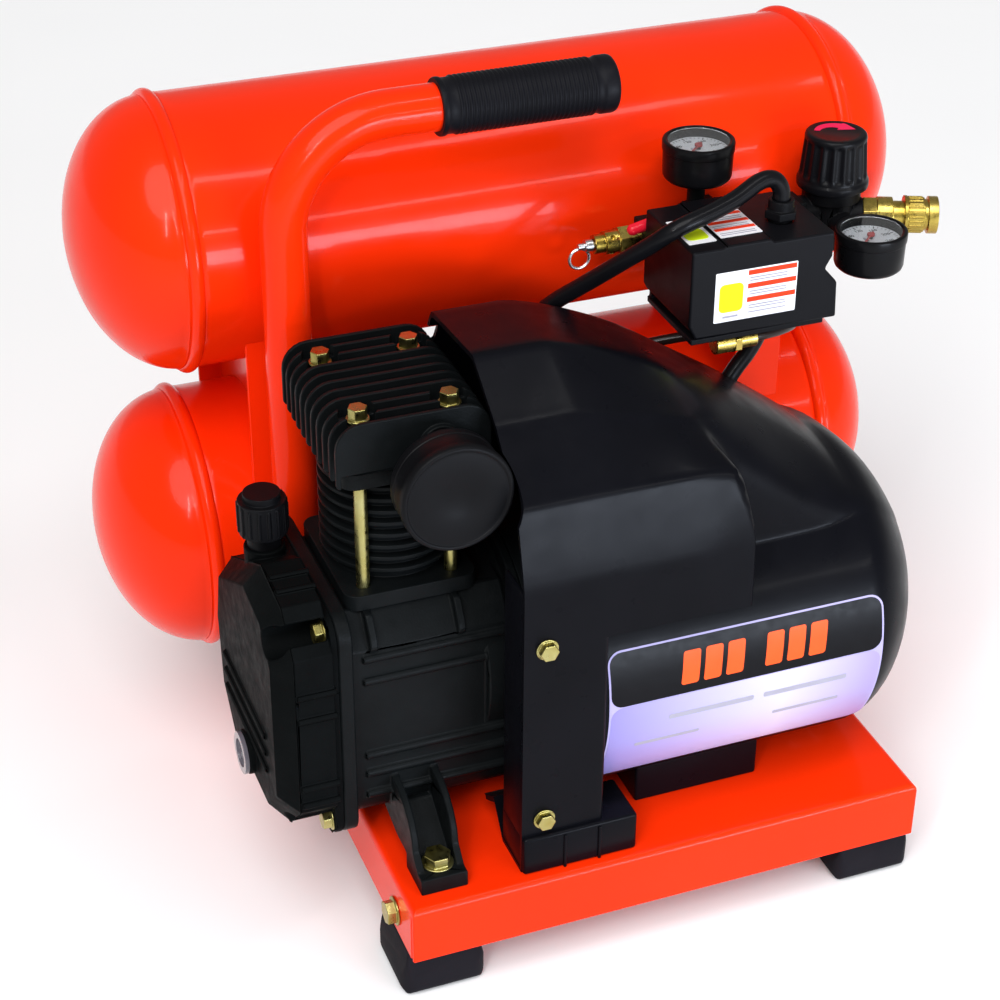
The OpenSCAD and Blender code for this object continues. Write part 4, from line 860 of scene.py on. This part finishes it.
grip_y, grip_z, grip_a, grip_b = 10.1, 429.5, -64, 35
tube_r, cap_thick, rib_pitch = 12.75, 4.9, 2.6
grip = [(grip_a, tube_r), (grip_a, 15.0), (grip_a + 0.6, 15.4), (grip_a + 2.4, 15.5),
        (grip_a + 3.2, 15.2), (grip_a + 4, 14.7)]
for i in range(30):
    x = grip_a + 9 + rib_pitch * i
    grip += [(x - 0.5, 14.7), (x - 0.1, 14.95), (x + 0.15, 15.35), (x + 0.45, 15.5), (x + 0.85, 15.5),
             (x + 1.15, 15.35), (x + 1.4, 14.95), (x + 1.8, 14.7)]
grip += [(grip_b - 9.6, 14.7), (grip_b - 9, 15.2), (grip_b - 8.2, 15.5), (grip_b - 2.4, 15.5),
         (grip_b - 1, 15.1), (grip_b - 0.3, 14.2), (grip_b, 13), (grip_b, 0)]
bore = [(grip_a, tube_r), (grip_b - cap_thick, tube_r), (grip_b - cap_thick, 0)]
skins = [lathe(profile, (0, grip_y, grip_z), (1, 0, 0)) for profile in (grip, bore)]
finished("grip_fine", joined("grip_fine", skins), "handle_grip", replaces=["handle_grip"], sharp=50)

upper_lead = [(110, -49, 366), (110, -49, 374), (109, -49, 382), (104, -49, 388), (95, -50, 388),
              (81, -53, 382), (66, -56, 378), (52, -58, 375), (42, -56, 370), (33, -50, 361),
              (23, -42, 351), (13, -33, 340), (3, -25, 330), (-6, -18, 321), (-14, -12, 311),
              (-19, -9, 300), (-21, -9, 288), (-20, -16, 270), (-14, -30, 251), (-9, -44, 240),
              (-8, -49, 233), (-8, -49, 226)]
lower_lead = [(108, -40, 315), (108, -40, 307), (108, -40, 299), (106, -40, 290), (101, -40, 281),
              (94, -40, 272), (88, -41, 264), (82, -44, 256), (75, -47, 248), (71, -49, 240),
              (70, -49, 233), (70, -49, 226)]
lead_r, unloader_r, steps = 4.7, 3, 5
sheaths = [sweep(spline(route, steps), lead_r, 28) for route in (upper_lead, lower_lead)]
finished("leads_fine", joined("leads_fine", sheaths), "motor_leads", replaces=["motor_leads"], sharp=50)
unloader = [(92, -52, 297), (99, -52, 297), (107, -51, 297), (116, -48, 296), (125, -42, 294),
            (131, -34, 291), (131, -27, 287), (122, -20, 283), (104, -10, 279), (78, 3, 273),
            (48, 14, 265), (10, 20, 256), (-30, 21, 248), (-52, 22, 242), (-66, 25, 232),
            (-74, 29, 222), (-80, 31.5, 216), (-87, 32, 214.5), (-93, 32, 214.5)]
tube = joined("unloader_fine", [sweep(spline(unloader, steps), unloader_r)])
finished("unloader_fine", tube, "unloader_tube", replaces=["unloader_tube"], sharp=50)

filter_at, stub_at = (-109.5, pump_y, pump_z + 136.5), (-108, pump_y, pump_z + 151)
can = [(52, 0), (52, 23.6), (52.4, 24.6), (53.2, 25.2), (55.4, 25.3), (56.2, 25.8), (56.8, 27.2),
       (58, 28.2), (59.4, 28.5), (63, 28.5), (63.4, 28.1), (64, 28.1), (64.4, 28.5), (73.4, 28.5),
       (74, 29), (74.8, 29.3), (78.2, 29.3), (79.2, 29), (79.8, 28.3), (80, 27.5), (79.8, 26.8),
       (79.3, 26.4), (79.2, 25.8), (79.4, 25), (79.7, 9), (79.3, 8), (79.3, 0)]
stub = [(34, 7), (34, 8.5), (34.4, 8.9), (53, 8.9), (53, 7)]
canister = [lathe(can, filter_at, (0, -1, 0), 120), closed_lathe(stub, stub_at, (0, -1, 0), 48)]
finished("filter_fine", joined("filter_fine", canister), "filter_housing",
         replaces=["filter_housing", "filter_element"], sharp=40)


# ---------- rounded copies of the castings and fittings ----------

# the width of each node's rounded edges, in mm
edges = {
    "base_tray": 1.0, "tank_brackets": 0.7, "crankcase": 1.0, "crankcase_cover": 0.9, "cylinder": 0.6,
    "cylinder_head": 0.7, "oil_breather": 0.5, "rubber_feet": 1.6, "motor_foot": 0.6,
    "manifold": 0.8, "regulator_body": 0.7, "switch_base": 0.8, "switch_cover": 1.4, "cable_glands": 0.6,
    "coupler_body": 0.4, "coupler_sleeve": 0.3, "safety_valve": 0.4, "check_valve": 0.4, "unloader_valve": 0.4,
    "drain_valve": 0.4, "head_bolts": 0.5, "cover_bolts": 0.5, "base_bolts": 0.5, "shroud_screws": 0.5,
    "valve_plate": 0.3, "sight_glass": 0.4, "motor_shell": 0.6, "safety_valve_ring": 0.2, "switch_lever": 0.3,
    "motor_end_bell": 0.5,
}
for node, width in edges.items():
    softened(node, width, merge_flats=node != "crankcase")


# ---------- floor and light ----------

floor_half, floor_z = 60, -0.0005
corners = [(sx * floor_half, sy * floor_half, floor_z) for sx, sy in ((-1, -1), (1, -1), (1, 1), (-1, 1))]
floor_mesh = bpy.data.meshes.new("floor")
floor_mesh.from_pydata(corners, [], [(0, 1, 2, 3)])
floor = bpy.data.objects.new("floor", floor_mesh)
scene.collection.objects.link(floor)
floor_look = Shader("pale_floor")
floor_look.set(Roughness=0.95, Specular_IOR_Level=0.0)
floor_look.base(floor_look.noise(3, 2), [(0.3, (0.955, 0.955, 0.96)), (0.7, (0.97, 0.97, 0.975))])
floor_mesh.materials.append(floor_look.material)

world = bpy.data.worlds.new("studio")
world.use_nodes = True
sky = world.node_tree.nodes["Background"]
sky.inputs["Color"].default_value = (1, 1, 1, 1)
sky.inputs["Strength"].default_value = 0.30
scene.world = world


def aim(light, place, target):
    light.location = place
    light.rotation_euler = (Vector(target) - Vector(place)).to_track_quat("-Z", "Y").to_euler()
    scene.collection.objects.link(light)


def softbox(name, place, target, size, power, tone=(1, 1, 1)):
    data = bpy.data.lights.new(name, "AREA")
    data.color = tone
    data.shape = "RECTANGLE"
    data.size, data.size_y = size
    data.energy = power
    aim(bpy.data.objects.new(name, data), place, target)


def soft_sun(name, place, strength, spread):
    data = bpy.data.lights.new(name, "SUN")
    data.energy = strength
    data.angle = math.radians(spread)
    aim(bpy.data.objects.new(name, data), place, (0, 0, 0))


soft_sun("sun", (-0.55, -0.75, 1.25), 2.3, 45)
# name, place, target, size in metres, watts
softbox("front_low", (0.62, -1.70, 0.27), (0.0, -0.1, 0.25), (0.9, 0.36), 20, (0.76, 0.85, 1.0))
softbox("over", (0.30, -0.55, 1.6), (0, 0, 0.25), (0.9, 0.10), 3)
softbox("edge", (0.62, -1.50, 0.92), (0, -0.1, 0.25), (1.1, 0.07), 3)
softbox("glint", (-0.75, -1.0, 1.0), (0, 0, 0.25), (0.05, 0.45), 3)
scene.view_settings.view_transform = "Standard"
